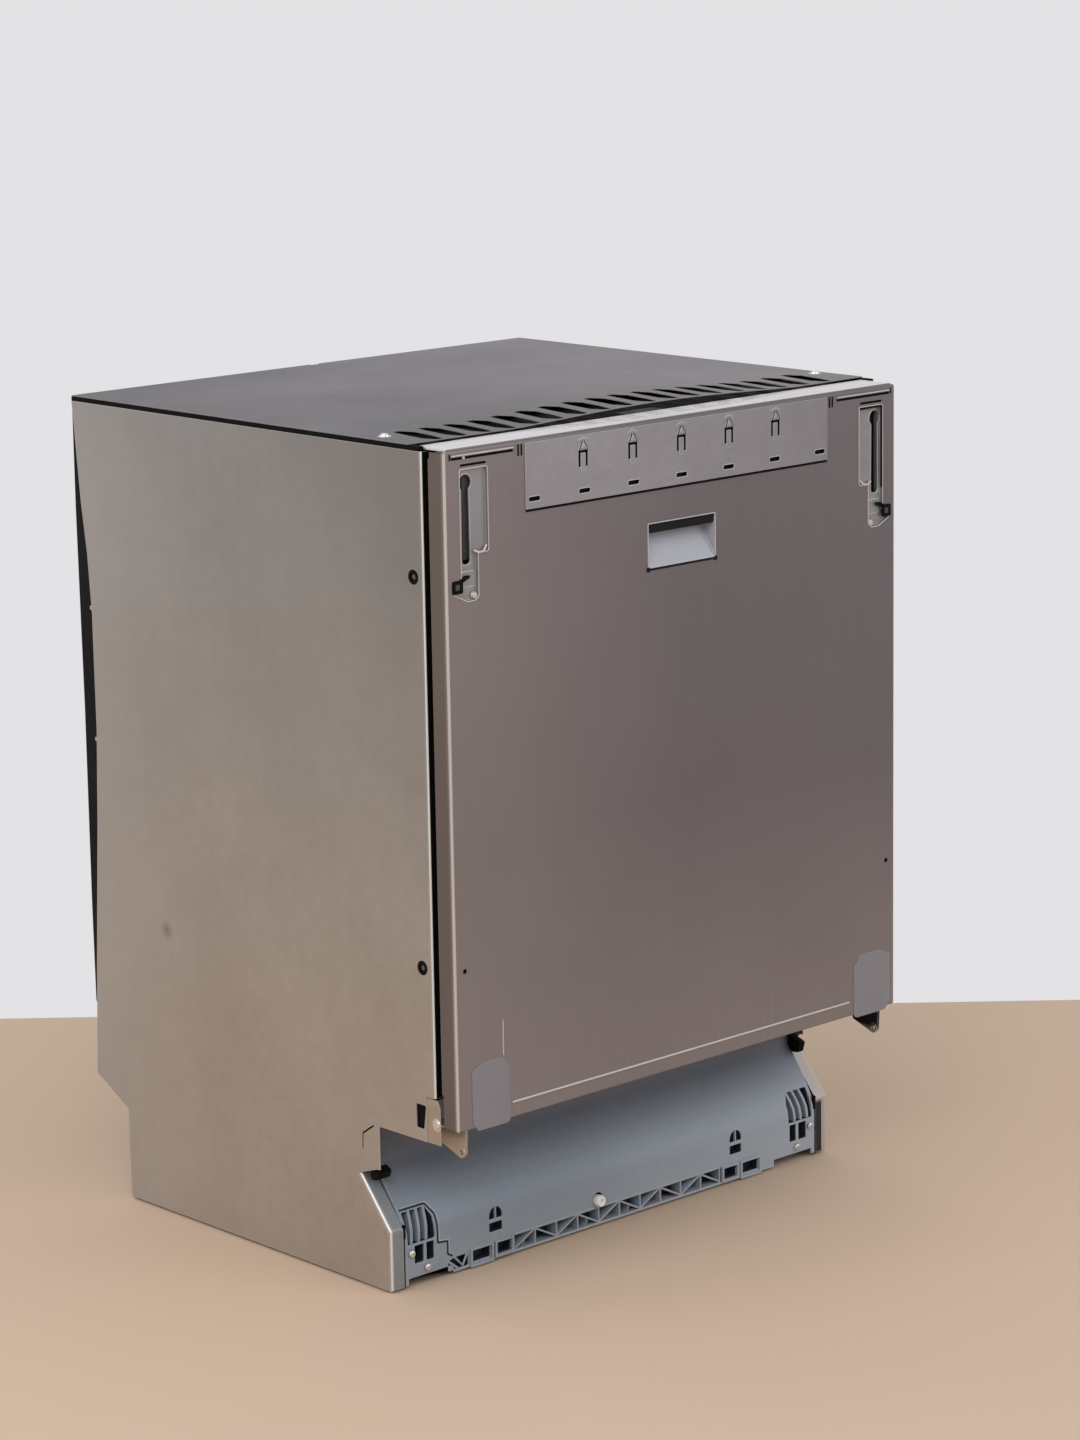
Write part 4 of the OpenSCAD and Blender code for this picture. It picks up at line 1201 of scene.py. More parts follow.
def add_door_lips(material):
    """The narrow lips along the door's sides, behind the skin's edges."""
    depth = DOOR[1].y
    lip = brick(DOOR_X - 1.4, depth - 0.6, 212, DOOR_X - 0.1, depth + 2.6, 804, 0.4)
    piece("door_side_lips", both(lip), material, "door")


def add_door_dark_marks(material):
    """The dark ends of the slits beside the punched plate, a painted shadow line under the plate, and the
    shadow lines round its punches.
    """
    y = FACE_Y
    ends = [brick(x - 0.7, y - 0.1, z, x + 0.7, y + 2, 808.6, 0.3)
            for x, z in ((202.7, 798), (206.6, 798), (289.6, 803))]
    low, high = span("deco_plate")
    # A painted shadow line under the punched plate.
    under = brick(low.x + 0.5, y - 0.3, low.z - 2.2, high.x - 0.5, y + 1.2, low.z + 0.2, 0.3)
    sides = [[(x + s * 5.2, y - 0.5, 794.6), (x + s * 3.9, y - 0.9, 797.6), (x + s, y - 0.3, 803)]
             for x in PUNCHES for s in (-1, 1)]
    piece("door_slit_ends", joined(both(joined(*ends)), under, wires(sides, 0.4, 1)), material, "door")


def add_door_felt(material):
    """Black felt between the door's skin and its liner: it darkens every opening, partly as painted shade,
    and black tape paints the shade in the gaps along the door's sides.
    """
    pocket = pocket_outline(1.5)
    pad = flat(oblong(-290, 184, 290, 808, 4), [oblong_on(*CUP, -1, 1), pocket, flipped(pocket)], 4, 19,
               "y", 1)
    # Black tape along the door's sides: painted shade in the gap.
    tape = brick(287, 18.8, 196, 292.6, 23.2, 806, 1)
    piece("door_felt", joined(pad, both(tape)), material, "door")


def punch(x, plate_y):
    """A hook punch: a bulge of the sheet over an arch-shaped slot."""
    bulge = ((794.4, 7.2, 0.0), (795.2, 6.6, 1.6), (797.4, 5.6, 1.5), (800.2, 3.4, 1.0), (802.8, 1.4, 0.1))
    rings = []
    for z, wide, proud in bulge:
        across = ((-1, -0.3), (-0.72, proud * 0.75), (0, proud), (0.72, proud * 0.75), (1, -0.3))
        rings.append([(x + u * wide, plate_y - out, z) for u, out in across])
    dent = with_modifier(loft(rings, closed=False), "SUBSURF", levels=2, render_levels=2)
    tongue = flat(oblong(x - 3, 776, x + 3, 792, 1), [], plate_y - 0.3, plate_y + 0.6, "y", 0.3)
    mark = wires([bent([(x - 6, plate_y + 0.1, 804.2), (x, plate_y - 0.2, 806.4),
                        (x + 6, plate_y + 0.1, 804.2)],
                       4)], 0.5, 1)
    return joined(dent, tongue, mark)


def add_deco_plate(material):
    low, high = span("deco_plate")
    outer, inner, foot, crown, top = 5.9, 3.2, 779.2, 792.2, 795
    staple = [(-outer, foot), (-inner, foot), (-inner, crown), (inner, crown), (inner, foot), (outer, foot),
              (outer, top), (-outer, top)]
    staple = rounded(staple, [0.8, 0.8, 1, 1, 0.8, 0.8, 1.5, 1.5])
    holes = [[(x + u, v) for u, v in staple] for x in PUNCHES]
    holes += [oblong(x - 7, 755, x + 7, 759, 1.9) for x in LOWER_SLOTS]
    rims = [at_depth(oblong(x - 7.4, 754.6, x + 7.4, 759.4, 2.2), low.y + 0.15) for x in LOWER_SLOTS]
    sheet = flat(oblong_on(low, high, 0, 1.2), holes, low.y, low.y + 1.0, "y", 0.3)
    whole = joined(sheet, *[punch(x, low.y) for x in PUNCHES], wires(rims, 0.45, 1, closed=True))
    piece("deco_sheet", whole, material, "door", "deco_plate")


def add_handle_cup(material, dark):
    """The recessed grip: a rim, a sloping floor, walls, and a dark shadow lip round it."""
    low, high = CUP
    x0, x1, z0, z1 = low.x + 0.6, high.x - 0.6, low.z + 0.6, high.z - 0.6
    front, back = low.y - 0.6, high.y
    rim = flat(oblong_on(low, high, 0, 2), [oblong_on(low, high, 1.2, 1.5)], low.y - 0.9, low.y + 0.4, "y",
               0.3)
    ramp = rounded([(front, z0 + 1.0), (front + 1.2, z0 + 0.8), (back - 4, z0 + 29), (back - 2, z0 + 33)],
                   [0, 1, 6, 0])
    floor = sweep(ramp, "x", x0, x1, 0.9)
    back_wall = brick(x0, back - 2.2, z0 + 30, x1, back, z1, 0.4)
    cheek = rounded([(front + 0.4, z0), (back, z0 + 2), (back, z1), (front + 0.4, z1)], 1)
    walls = [flat(cheek, [], x - 0.5, x + 0.5, "x", 0.2) for x in (x0 - 0.2, x1 + 0.2)]
    slope = rounded([(front + 1, z0 + 1), (back - 3.5, z0 + 29), (back - 3.5, z0 + 33),
                     (front + 1, z0 + 5)], 1)
    wedge = flat(slope, [], x1 - 2.6, x1 - 0.2, "x", 0.5)
    cup = joined(rim, floor, back_wall, *walls, wedge)
    piece("handle_shell", cup, material, "door", "handle_cup", smooth=40)
    # The dark hood in the cup's top, the dark line under its foot and that line's dark ends: painted shadow.
    hood = rounded([(front + 1.4, z1 - 0.6), (front + 2, z1 - 9.5), (back - 1.5, z1 - 9)], [0, 2, 0])
    lid = sweep(hood, "x", x0 + 0.8, x1 - 0.8, 0.8)
    shadow_seam = brick(low.x - 1, low.y - 1.0, low.z - 2.2, high.x + 1, low.y + 0.2, low.z + 0.1, 0.4)
    seam_shadow_ends = [turned([(0, -1.2), (2.4, -1.1), (2.7, 0.4)], (x, low.y, low.z - 1), "y", 16) for x in (x0, x1)]
    piece("handle_shadow_lip", joined(lid, shadow_seam, *seam_shadow_ends), dark, "door")


def keyhole_outline(grow=0.0):
    """The keyhole with its slot below, in the right bracket."""
    middle, up, r, half, foot = 269.6, 781, 7.2 + grow, 4.8 + grow, 707 - grow
    slot = [(-half, 3), (-half + 1.4, 0.6), (0, 0), (half - 1.4, 0.6), (half, 3)]
    turns = [math.radians(-52 + 284 * k / 20) for k in range(21)]
    return ([(middle + u, foot + v) for u, v in slot]
            + [(middle + r * math.cos(turn), up + r * math.sin(turn)) for turn in turns])


def keyhole_plate():
    """The pressed bracket behind the right pocket."""
    y = span("keyhole_bracket_right")[0].y
    face = flat(pocket_outline(-0.2), [keyhole_outline()], y - 0.2, y + 1, "y", 0.3)
    rim = wires([at_depth(keyhole_outline(0.6), y - 0.2)], 0.6, 2, closed=True)
    wall = loft([at_depth(pocket_outline(0.3), FACE_Y + 0.6), at_depth(pocket_outline(-0.5), y + 0.4)])
    lower = brick(260, y - 0.9, 686, 276.6, y + 0.4, 701, 0.6)
    cage = [brick(POCKET_OUT, y, POCKET_STEP, POCKET_OUT + 1.5, 18, POCKET_TOP, 0.3),
            brick(POCKET_IN - 1.5, y, 690, POCKET_IN, 18, POCKET_TOP, 0.3)]
    return joined(face, rim, wall, lower, *cage)


def add_keyhole_brackets(material):
    right = keyhole_plate()
    left = mirrored(right)
    piece("keyhole_plate_right", right, material, "door", "keyhole_bracket_right", smooth=40)
    piece("keyhole_plate_left", left, material, "door", "keyhole_bracket_left", smooth=40)


def add_pocket_clips(dark, grey):
    """The black clip, lever and shadow in each pocket, and the grey parts that show through it; a black
    backing behind the keyhole paints the shade there.
    """
    y = FACE_Y
    # A black backing behind the keyhole: painted shade in the pocket.
    backing = brick(248, 9, 690, 275, 12, 792, 0.5)
    clip = flat(oblong(277.4, 682, 289.4, 694, 2), [oblong(280.6, 685, 286.4, 691, 1)], y - 0.8, y + 1.4,
                "y", 0.5)
    lever = flat(rounded([(280, 690.4), (281, 694.2), (273.4, 697.4), (268.4, 697.4), (268.8, 695)], 0.8), [],
                 y - 0.3, y + 1.6, "y", 0.3)
    shade = wires([at_depth([(247, 792), (276.6, 792), (276.6, 712)], y + 0.7)], 1.0, 1)
    piece("pocket_clips", joined(shade, both(joined(backing, clip, lever))), dark, "door")
    core = brick(280.4, y - 0.1, 684.8, 286.6, y + 1.4, 691.2, 0.5)
    peek = brick(260, 8.2, 710, 269.2, 9.2, 787, 0.4)
    piece("pocket_cores", both(joined(core, peek)), grey, "door")


def add_corner_pads(material):
    """The pads over the door's lower corners. The right one is a little wider, as in the photo."""
    low, high = span("corner_pads")
    near, wider = 231.5, 1.13
    outline = rounded([(near, 177), (272, 177), (278.5, 185), (278.5, 235), (272, 238), (263, 241.5),
                       (240, 241.5),
                       (235.5, 234), (near, 230)], [6, 4, 4, 4, 3, 6, 4, 3, 4])
    pad = flat(outline, [], low.y - 0.2, high.y + 0.3, "y", 0.5)
    notch = flat(rounded([(271.5, 184.2), (278.4, 185.6), (278.2, 190.4), (272, 189)], 1.2), [], low.y - 0.5,
                 low.y + 0.8, "y", 0.3)
    left = mirrored(joined(pad, notch))
    right = moved(mirrored(left), lambda p: Vector((236 + (p.x - near) * wider, p.y, p.z)))
    piece("corner_pad_pair", joined(left, right), material, "door", "corner_pads")


def add_light_strip(material, dark, pip_look):
    """The pale strip on the door's top edge, with its groove, buttons and indicator pips."""
    low, high = STRIP
    top = STRIP_TOP
    buttons = {name: span(name) for name in ("power_button", "program_button", "start_button")}
    first_low, first_high = buttons["power_button"]
    holes = [oblong(a.x - 0.4, a.y - 0.4, b.x + 0.4, b.y + 0.4, 1.6) for a, b in buttons.values()]
    groove = oblong(-84, first_low.y + 3.6, 44, first_low.y + 5.4, 0.8)
    plate = flat(oblong(low.x + 0.4, low.y + 0.4, high.x - 0.4, high.y, 1.5), [*holes, groove], top - 2.4,
                 top,
                 "z", 0.6)
    apron = sweep([(high.y - 0.5, top - 1), (high.y - 0.5, top - 5)], "x", low.x + 1, high.x - 1, 0.9)
    bead = wires([[(x, low.y + 13.5, top - 0.1) for x in (low.x + 3, 0, high.x - 3)]], 0.5)
    piece("light_strip", joined(plate, apron, bead), material, "door", "control_fascia")
    # A dark seat under the strip: painted shade in the gap beneath it.
    seat = brick(low.x + 2, low.y + 3, top - 5.6, high.x - 2, high.y - 2, top - 4.6, 0.3)
    piece("strip_gap_shade", seat, dark, "door")
    for name, (a, b) in buttons.items():
        cap = flat(oblong(a.x, a.y, b.x, b.y, 1.3), [], b.z - 2, b.z, "z", 0.6)
        ring = wires([[(u, v, b.z) for u, v in circle((a.x + b.x) / 2, (a.y + b.y) / 2, 2.2, 20)]], 0.28, 1,
                     closed=True)
        piece(name + "_cap", joined(cap, ring), material, name, name)
    pip = [(1.3, 0), (1.2, 0.3), (0.6, 0.5), (0, 0.55)]
    pips = [turned(pip, (x, (first_low.y + first_high.y) / 2, top - 0.1), "z", 16)
            for x in (-108, 46, 78, 110, 116, 122)]
    piece("strip_pips", joined(*pips), pip_look, "door")


def add_hinge_arms(material):
    """The arms that carry the door on its pins, each with a riveted eye at its foot."""
    high = span("hinge_arms")[1]
    inner, eye_at, thick = 7, (13, 156), 3
    blade = rounded([(inner, 192), (inner, 176), (8.3, 153.5), (13, 149.4), (19, 151.6), (41.4, 159.6),
                     (42.4, 163),
                     (36, 184), (28, 191.5)], [1, 2, 5, 5.5, 5, 2, 2, 6, 6])
    bores = [circle(*eye_at, 2.5, 24), circle(PIN_AT.y, PIN_AT.z, 4.05, 32)]
    lower = flat(blade, bores, high.x - thick, high.x, "x", 0.35)
    upper = flat(oblong(inner, 191, 19, high.z, 1), [], high.x - thick, high.x, "x", 0.35)
    eye = turned([(2.5, 0.1), (2.8, 0.7), (4.4, 0.7), (4.8, 0)], (high.x, *eye_at), "x", 24)
    eye_in = mirrored(eye)
    eye_in.transform(Matrix.Translation((high.x * 2 - thick, 0, 0)))
    piece("hinge_arm_pair", both(joined(lower, upper, eye, eye_in)), material, "door", "hinge_arms")


def add_door_liner(material):
    """The pressed inside of the door: a deep tray with a raised edge, sunk round the dispenser."""
    low, high = span("inner_door_liner")
    y = low.y
    steps = 5
    sizes = [(292, 193.5, 803, 6, 0.6), (280, 201, 795, 12, 0.6), (276, 204, 792, 14, 2.2),
             (266, 206, 790, 18, 2.2),
             (263, 208, 788, 20, 0.6), (257, 212, 786, 26, 0.8), (254, 215, 784, 26, 6),
             (251, 218, 781, 26, 11.4),
             (246, 223, 776, 24, 12.6), (238, 231, 768, 22, 12.6), (235, 234, 765, 20, 11.2),
             (228, 241, 758, 18, 11.2)]
    rings = [at_depth(oblong(-half, z0, half, z1, r, steps), y + deep) for half, z0, z1, r, deep in sizes]
    for grow, r, deep in ((14, 14, 11.2), (8, 10, 9.8), (0.5, 4, 9.6)):
        rings.append(at_depth(oblong_on(*span("dispenser_body"), -grow, r, steps), y + deep))
    dish = with_modifier(loft(rings), "SOLIDIFY", thickness=0.8, offset=0)
    tongue = [brick(-14, y, 799, 14, y + 1.6, high.z, 0.3), brick(-14, y, 804.2, 14, high.y, high.z, 0.5)]
    piece("door_liner", joined(dish, *tongue), material, "door", "inner_door_liner", smooth=50)


# ---- wash space ----

RACK_FRONT, RACK_BACK = 64, 500
TUB_CORNER = 42


def tub_ring(inset, back, steps=6):
    """One cross-section of the tub, pulled in at the back. Its floor falls towards the middle."""
    wall = 262 - inset
    top = span("tub")[1].z - 1 - inset
    floor = 204.5 + inset * 0.6
    depth = 16 if inset < 30 else 4.8
    outline = rounded([(-wall, floor), (wall, floor), (wall, top), (-wall, top)], TUB_CORNER - inset * 0.5,
                      steps)
    points = []
    for k in range(1, 12):
        x = -wall + TUB_CORNER + 2 * (wall - TUB_CORNER) * k / 12
        sunk = max(0, min(1, (225 - abs(x)) / 149))
        points.append((x, floor - depth * sunk))
    return at_depth(outline[:steps + 1] + points + outline[steps + 1:], back)


def add_tub(material):
    low, high = span("tub")
    stations = [(0, low.y), (0, 60), (0, 200), (0, 350), (0, high.y - 40), (1.5, high.y - 28),
                (6, high.y - 16),
                (14, high.y - 7), (28, high.y - 1.5), (60, high.y - 0.6)]
    rings = [tub_ring(inset, back) for inset, back in stations]
    shell = with_modifier(loft(rings, cap_end=True), "SOLIDIFY", thickness=0.9, offset=0)
    side_ribs = wires([[(side * 261.2, y, z) for y in range(70, 480, 20)] for side in (-1, 1)
                       for z in (418, 640)],
                      2.2, 3)
    back_ribs = wires([[(x, high.y - 1.4, z) for x in range(-190, 200, 20)] for z in (300, 420, 540, 660)],
                      3, 3)
    post = turned([(8, 0), (8, 3), (5, 3.2), (5, 18)], (0, 275, high.z - 20.5), "z", 32)
    piece("tub_shell", joined(shell, post, side_ribs, back_ribs), material, "cabinet", "tub", smooth=50)


def add_tub_rim(material):
    low, high = span("tub_front_frame")
    rings = []
    for grow, y in ((0, high.y - 0.4), (6, low.y + 0.3), (14.2, low.y + 0.3), (14.4, high.y + 4)):
        outline = oblong(-262 - grow, 204 - grow * 0.4, 262 + grow, 794.4 + grow * 0.6, 30, 6)
        rings.append(at_depth(outline, y))
    rim = with_modifier(loft(rings), "SOLIDIFY", thickness=0.8, offset=0)
    piece("tub_rim", rim, material, "cabinet", "tub_front_frame", smooth=50)


def add_gasket(material):
    low, high = span("door_gasket")

    def loop(inset, y, radius=28):
        return at_depth(oblong_on(low, high, inset, radius, 8), y)

    base = loft([loop(0.5, high.y - 0.3), loop(1.5, low.y + 3), loop(7.5, low.y + 3),
                 loop(8.8, high.y - 0.3)])
    bead = wires([loop(3.4, low.y + 3.3)], 3.1, 3, closed=True)
    lip = wires([loop(7.6, low.y + 3.6, 24)], 1.5, 2, closed=True)
    piece("gasket_loop", joined(bead, lip, base), material, "cabinet", "door_gasket", smooth=60)


def rack_wires(half, floor, rim):
    """A basket of bent round wires: U-shaped ones both ways, thick rims and a handle in front."""
    y0, y1 = RACK_FRONT, RACK_BACK
    pitch = 40
    count = int(half * 2 / pitch)
    thin = []
    for i in range(count):
        x = (i - (count - 1) / 2) * pitch
        thin.append(bent([(x, y0, rim), (x, y0 + 2, floor), (x, y1 - 2, floor), (x, y1, rim)], 14))
    for j in range(8):
        y = y0 + 24 + j * (y1 - y0 - 48) / 7
        low = floor - 3.4
        thin.append(bent([(-half, y, rim), (-half + 1, y, low), (half - 1, y, low), (half, y, rim)], 14))
    corners = oblong(-half, y0, half, y1, 26, 7)
    thick = wires([[(x, y, z) for x, y in corners] for z in (rim, (floor + rim) / 2)], 2.3, 3, closed=True)
    handle = wires([bent([(-70, y0, rim), (-60, 60.5, rim + 7), (60, 60.5, rim + 7), (70, y0, rim)], 8)],
                   2.3, 3)
    return joined(wires(thin, 1.7), thick, handle)


def add_lower_rack(material):
    """The lower rack with its fixed row of tines."""
    foot, row = 245.8, 410
    tines = [bent([(x - 5, row, foot), (x - 3, row + 1, 300), (x, row + 2, 321), (x + 3, row + 1, 300),
                   (x + 5, row, foot)], 5) for x in range(-160, 161, 40)]
    tines.append([(x, row, foot) for x in (-192, 0, 192)])
    mesh = joined(rack_wires(242, 242, 345), wires(tines, 1.6))
    piece("lower_rack_wires", mesh, material, "lower_rack", "lower_rack", smooth=60)


def add_lower_brackets(material):
    """The plates that hold the lower wheels, and their axles."""
    plate = [(-7, -7), (7, -7)], [(32, 238), (32, 244.5), (-30, 244.5), (-30, 238)]
    axle = [(0, 0), (3, 0), (3, 11), (5, 11.2), (4.6, 12.6), (0, 12.8)]
    parts = []
    for node in ("lower_wheels_front", "lower_wheels_rear"):
        low, high = span(node)
        y, z, out = (low.y + high.y) / 2, (low.z + high.z) / 2, high.x
        outline = [(y + u, z + v) for u, v in plate[0]] + [(y + u, v) for u, v in plate[1]]
        parts.append(flat(rounded(outline, [5, 5, 4, 2, 2, 4]), [], out - 10.9, out - 9.5, "x", 0.3))
        parts.append(turned(axle, (out - 10.9, y, z), "x", 24))
    piece("lower_rack_brackets", both(joined(*parts)), material, "lower_rack")


def add_upper_rack(material):
    piece("upper_rack_wires", rack_wires(237, 484, 590), material, "upper_rack", "upper_rack", smooth=60)


def add_upper_brackets(material):
    """The plates and axles of the upper rollers, and the rests of the cup shelves."""
    parts = [brick(219, y, 561, 234.6, y + 3.5, 569, 0.6) for y in (118, 418)]
    for node in ("upper_rollers_front", "upper_rollers_rear"):
        low, high = span(node)
        y, z = (low.y + high.y) / 2, (low.z + high.z) / 2
        parts.append(brick(239.4, y - 30, 512, 240.9, y + 30, 533, 0.4))
        parts.append(turned([(0, 0), (3, 0), (3, 17), (0, 17.2)], (240, y, z), "x", 24))
    piece("upper_rack_brackets", both(joined(*parts)), material, "upper_rack")


def add_wheels(material):
    """The lower rack's spoked wheels."""
    spokes = 6
    for node in ("lower_wheels_front", "lower_wheels_rear"):
        low, high = span(node)
        y, z, r = (low.y + high.y) / 2, (low.z + high.z) / 2, (high.z - low.z) / 2
        x = high.x - 8
        rim = turned([(3.1, -1), (7, -1), (7.4, 0.6), (12.4, 1.0), (13.2, 0), (r - 0.8, 0), (r, 1), (r, 7),
                      (r - 0.8, 8), (13.2, 8), (12.4, 6.6), (6.4, 6.4), (5.6, 8), (3.1, 8), (3.1, -1)],
                     (x, y, z), "x", 40)
        parts = [rim]
        for k in range(spokes):
            spoke = brick(x + 0.4, -0.8, 6.2, x + 7.4, 0.8, 13.2, 0.2)
            spoke.transform(Matrix.Translation((0, y, z)) @ Matrix.Rotation(math.tau * k / spokes, 4, "X"))
            parts.append(spoke)
        piece(node + "_rims", both(joined(*parts)), material, node, node)


# ---- small inner parts ----

def add_springs(material):
    """Coil springs with a hook at each end."""
    low, high = span("door_springs")
    x, z, r = 271, (low.z + high.z) / 2, 4.8
    start, length, coils, steps = 262, 142, 31, 12
    coil = []
    for k in range(coils * steps):
        turn = math.tau * k / steps
        coil.append((x + r * math.cos(turn), start + length * k / (coils * steps), z + r * math.sin(turn)))
    hook = bent([(x, low.y + 0.5, z), (x, low.y + 12, z), (x + r, start, z)], 3)
    tail = bent([(x + r, start + length, z), (x, 407, z), (x, high.y - 2, z), (high.x, high.y - 2, z)], 3)
    piece("spring_coils", both(wires([coil, hook, tail], 1.15)), material, "cabinet", "door_springs",
          smooth=60)


def add_spray_arm(node, reach, material):
    """A hollow-looking moulded arm: a rounded blade with nozzles and a hub."""
    low, high = span(node)
    y, bore = (low.y + high.y) / 2, 14
    top = high.z - 1.5
    edge = [(0, 25), (30, 23.5), (60, 19), (110, 15), (reach - 14, 11), (reach - 4, 6.5)]
    right = [(x, w) for x, w in edge] + [(x, -w) for x, w in reversed(edge)]
    left = [(-x, -w) for x, w in edge[1:]] + [(-x, w) for x, w in reversed(edge[1:])]
    outline = rounded([(x, y + w) for x, w in right + left], 5, 2)
    nozzles = []
    for side in (-1, 1):
        for x in (50, 95, 140, 180):
            if x < reach - 10:
                u, v = side * x, y + side * 5
                nozzles.append(oblong(u - 3.2, v - 1.1, u + 3.2, v + 1.1, 1))
    blade = flat(outline, [circle(0, y, bore + 6, 32), *nozzles], low.z, top, "z", 2.6)
    hub = turned([(bore, low.z), (bore + 7, low.z), (bore + 9, low.z + 2), (bore + 9, high.z - 1),
                  (bore + 7.4, high.z), (bore, high.z), (bore, low.z)], (0, y, 0), "z", 48)
    rib = wires([[(24, y, top), (reach - 18, y, top)]], 0.9)
    inside = brick(26, y - 9, low.z + 2.4, reach - 22, y + 9, top - 2.4, 1)
    piece(node + "_blade", joined(blade, hub, both(joined(rib, inside))), material, node, node, smooth=50)


def add_basket(material):
    """The cutlery basket: ribbed walls of upright slots, a floor grid and a lip."""
    low, high = span("cutlery_basket")
    slots = []
    for k in range(22):
        x = low.x + 6.2 + k * 6.2
        slots += [oblong(x - 1.9, z0, x + 1.9, z1, 1.5, 2) for z0, z1 in ((262, 290), (295, 326), (331, 345))]
    front = flat(oblong_on(low, high, 0, 3), slots, low.y, low.y + 2, "y", 0.4)
    back = front.copy()
    back.transform(Matrix.Translation((0, high.y - low.y - 2, 0)))
    rows = [oblong(low.y + 6 + k * 6.6, 262, low.y + 10 + k * 6.6, 326, 1.5, 2) for k in range(8)]
    end = oblong(low.y + 1, low.z, high.y - 1, high.z - 0.5, 2)
    ends = [flat(end, rows, x, x + 1.8, "x", 0.3) for x in (low.x, 110.2, 158.2, high.x - 2)]
    grid = [oblong(low.x + 8 + k * 12.4, low.y + 7, low.x + 14 + k * 12.4, high.y - 7, 2, 2)
            for k in range(11)]
    floor = flat(oblong(low.x + 1, low.y + 1, high.x - 1, high.y - 1, 2), grid, low.z, low.z + 2, "z", 0.3)
    brim = oblong(low.x + 1.2, low.y + 1.2, high.x - 1.2, high.y - 1.2, 4)
    lip = wires([[(x, y, high.z - 1) for x, y in brim]], 1.2, 2, closed=True)
    piece("cutlery_basket_cage", joined(front, back, floor, lip, *ends), material, "cutlery_basket",
          "cutlery_basket")


def add_dispenser(material):
    """The dispenser's face with its bowl and the well of the rinse cap."""
    low, high = span("dispenser_body")
    cap = (span("rinse_cap")[0] + span("rinse_cap")[1]) / 2
    y, well_r = high.y, 20.6
    mouth = oblong(-30, 535, 30, 580, 5)
    face = flat(oblong_on(low, high, 1, 9), [mouth, circle(cap.x, cap.z, well_r, 40)], y - 5, y, "y", 1.4)
    bowl = loft([at_depth(mouth, y - 1), at_depth(oblong(-28, 537, 28, 578, 7), y - 10),
                 at_depth(oblong(-22, 543, 22, 572, 9), y - 16)], cap_end=True)
    well = turned([(well_r, y - 1), (well_r, y - 10), (17, y - 11), (0, y - 11)], (cap.x, 0, cap.z), "y", 40)
    slim = brick(low.x + 3, low.y + 2, low.z + 3, high.x - 3, low.y + 9, high.z - 3, 2)
    line = wires([at_depth(oblong_on(low, high, 6, 6), y)], 0.7, 2, closed=True)
    piece("dispenser_shell", joined(face, bowl, well, slim, line), material, "door", "dispenser_body")


def add_dispenser_lid(material):
    low, high = span("dispenser_lid")
    lid = flat(oblong_on(low, high, 0, 6), [], low.y, low.y + 2.0, "y", 0.7)
    grip = brick(-22, low.y + 1.4, 544.5, 22, high.y, 551.5, 0.8)
    piece("dispenser_lid_plate", joined(lid, grip), material, "dispenser_lid", "dispenser_lid")


def add_rinse_cap(material):
    low, high = span("rinse_cap")
    x, z = (low.x + high.x) / 2, (low.z + high.z) / 2
    top, foot = high.y, span("dispenser_body")[1].y - 10
    cap = turned([(0, foot), (18, foot), (19.6, foot + 2), (19.6, top - 4), (18.6, top - 3), (0, top - 3)],
                 (x, 0, z), "y", 48)
    bar = brick(x - 16, top - 3.6, z - 2, x + 16, top, z + 2, 0.8)
    piece("rinse_cap_knob", joined(cap, bar), material, "rinse_cap", "rinse_cap")


def add_cup_shelves(material):
    for name, side in (("cup_shelf_right", 1), ("cup_shelf_left", -1)):
        low, high = span(name)
        x0, x1 = sorted((abs(low.x), abs(high.x)))
        z = low.z + 2
        paths = [[(x1 - 2, y, z) for y in (low.y, high.y)]]
        for k in range(7):
            y = 128 + k * 47.3
            paths.append(bent([(x1 - 2, y, z + 2.6), (x0 + 3, y, z + 2.6), (x0 + 1.8, y, z - 0.2)], 2))
        paths.append([(x0 + 2, y, z) for y in (126, 414)])
        mesh = wires(paths, 1.75)
        piece(name + "_wires", mesh if side > 0 else mirrored(mesh), material, name, name, smooth=60)


def add_tines(material):
    """The folding row of tines on its turning wire."""
    low, high = span("tine_row")
    y, z = 300, low.z + 2
    paths = [[(low.x, y, z), (high.x, y, z)]]
    for k in range(8):
        x = -182 + k * 32
        paths.append(bent([(x, y, z), (x, y, high.z - 7), (x + 2.5, y + 0.5, high.z - 1.6)], 4))
    piece("tine_row_wires", wires(paths, 1.55), material, "tine_row", "tine_row", smooth=60)


# ---- everything ----

def add_cabinet():
    zinc = zinc_sheet()
    bright = bright_zinc()
    metal = bright_metal()
    add_side_panels(zinc)
    add_side_plugs(rubber("plug_black", (10, 10, 10)), rubber("plug_grey", (96, 96, 98)))
    add_top_cover(cover_coat())
    add_cover_screws(metal)
    add_joint_strips(rubber("joint_shade_black", (9, 9, 10)))
    add_rear_felt(felt())
    # Black for the seals, and for painted shade in the gaps and the bracket window.
    seal_and_shade_black = rubber("seal_and_shade_black", (10, 10, 11))
    add_hinge_brackets(bright, seal_and_shade_black)
    add_hinge_pins(metal)
    add_plinth_shell(base_plastic())
    add_plinth_recesses(recess_shade_plastic(), moulded("plinth_rim_highlight", (158, 166, 172), 0.4))
    add_plinth_screws(metal)
    add_adjuster(moulded("white_plastic", (232, 232, 230), 0.4))
    add_seals_and_gap_shade(seal_and_shade_black)
    return bright


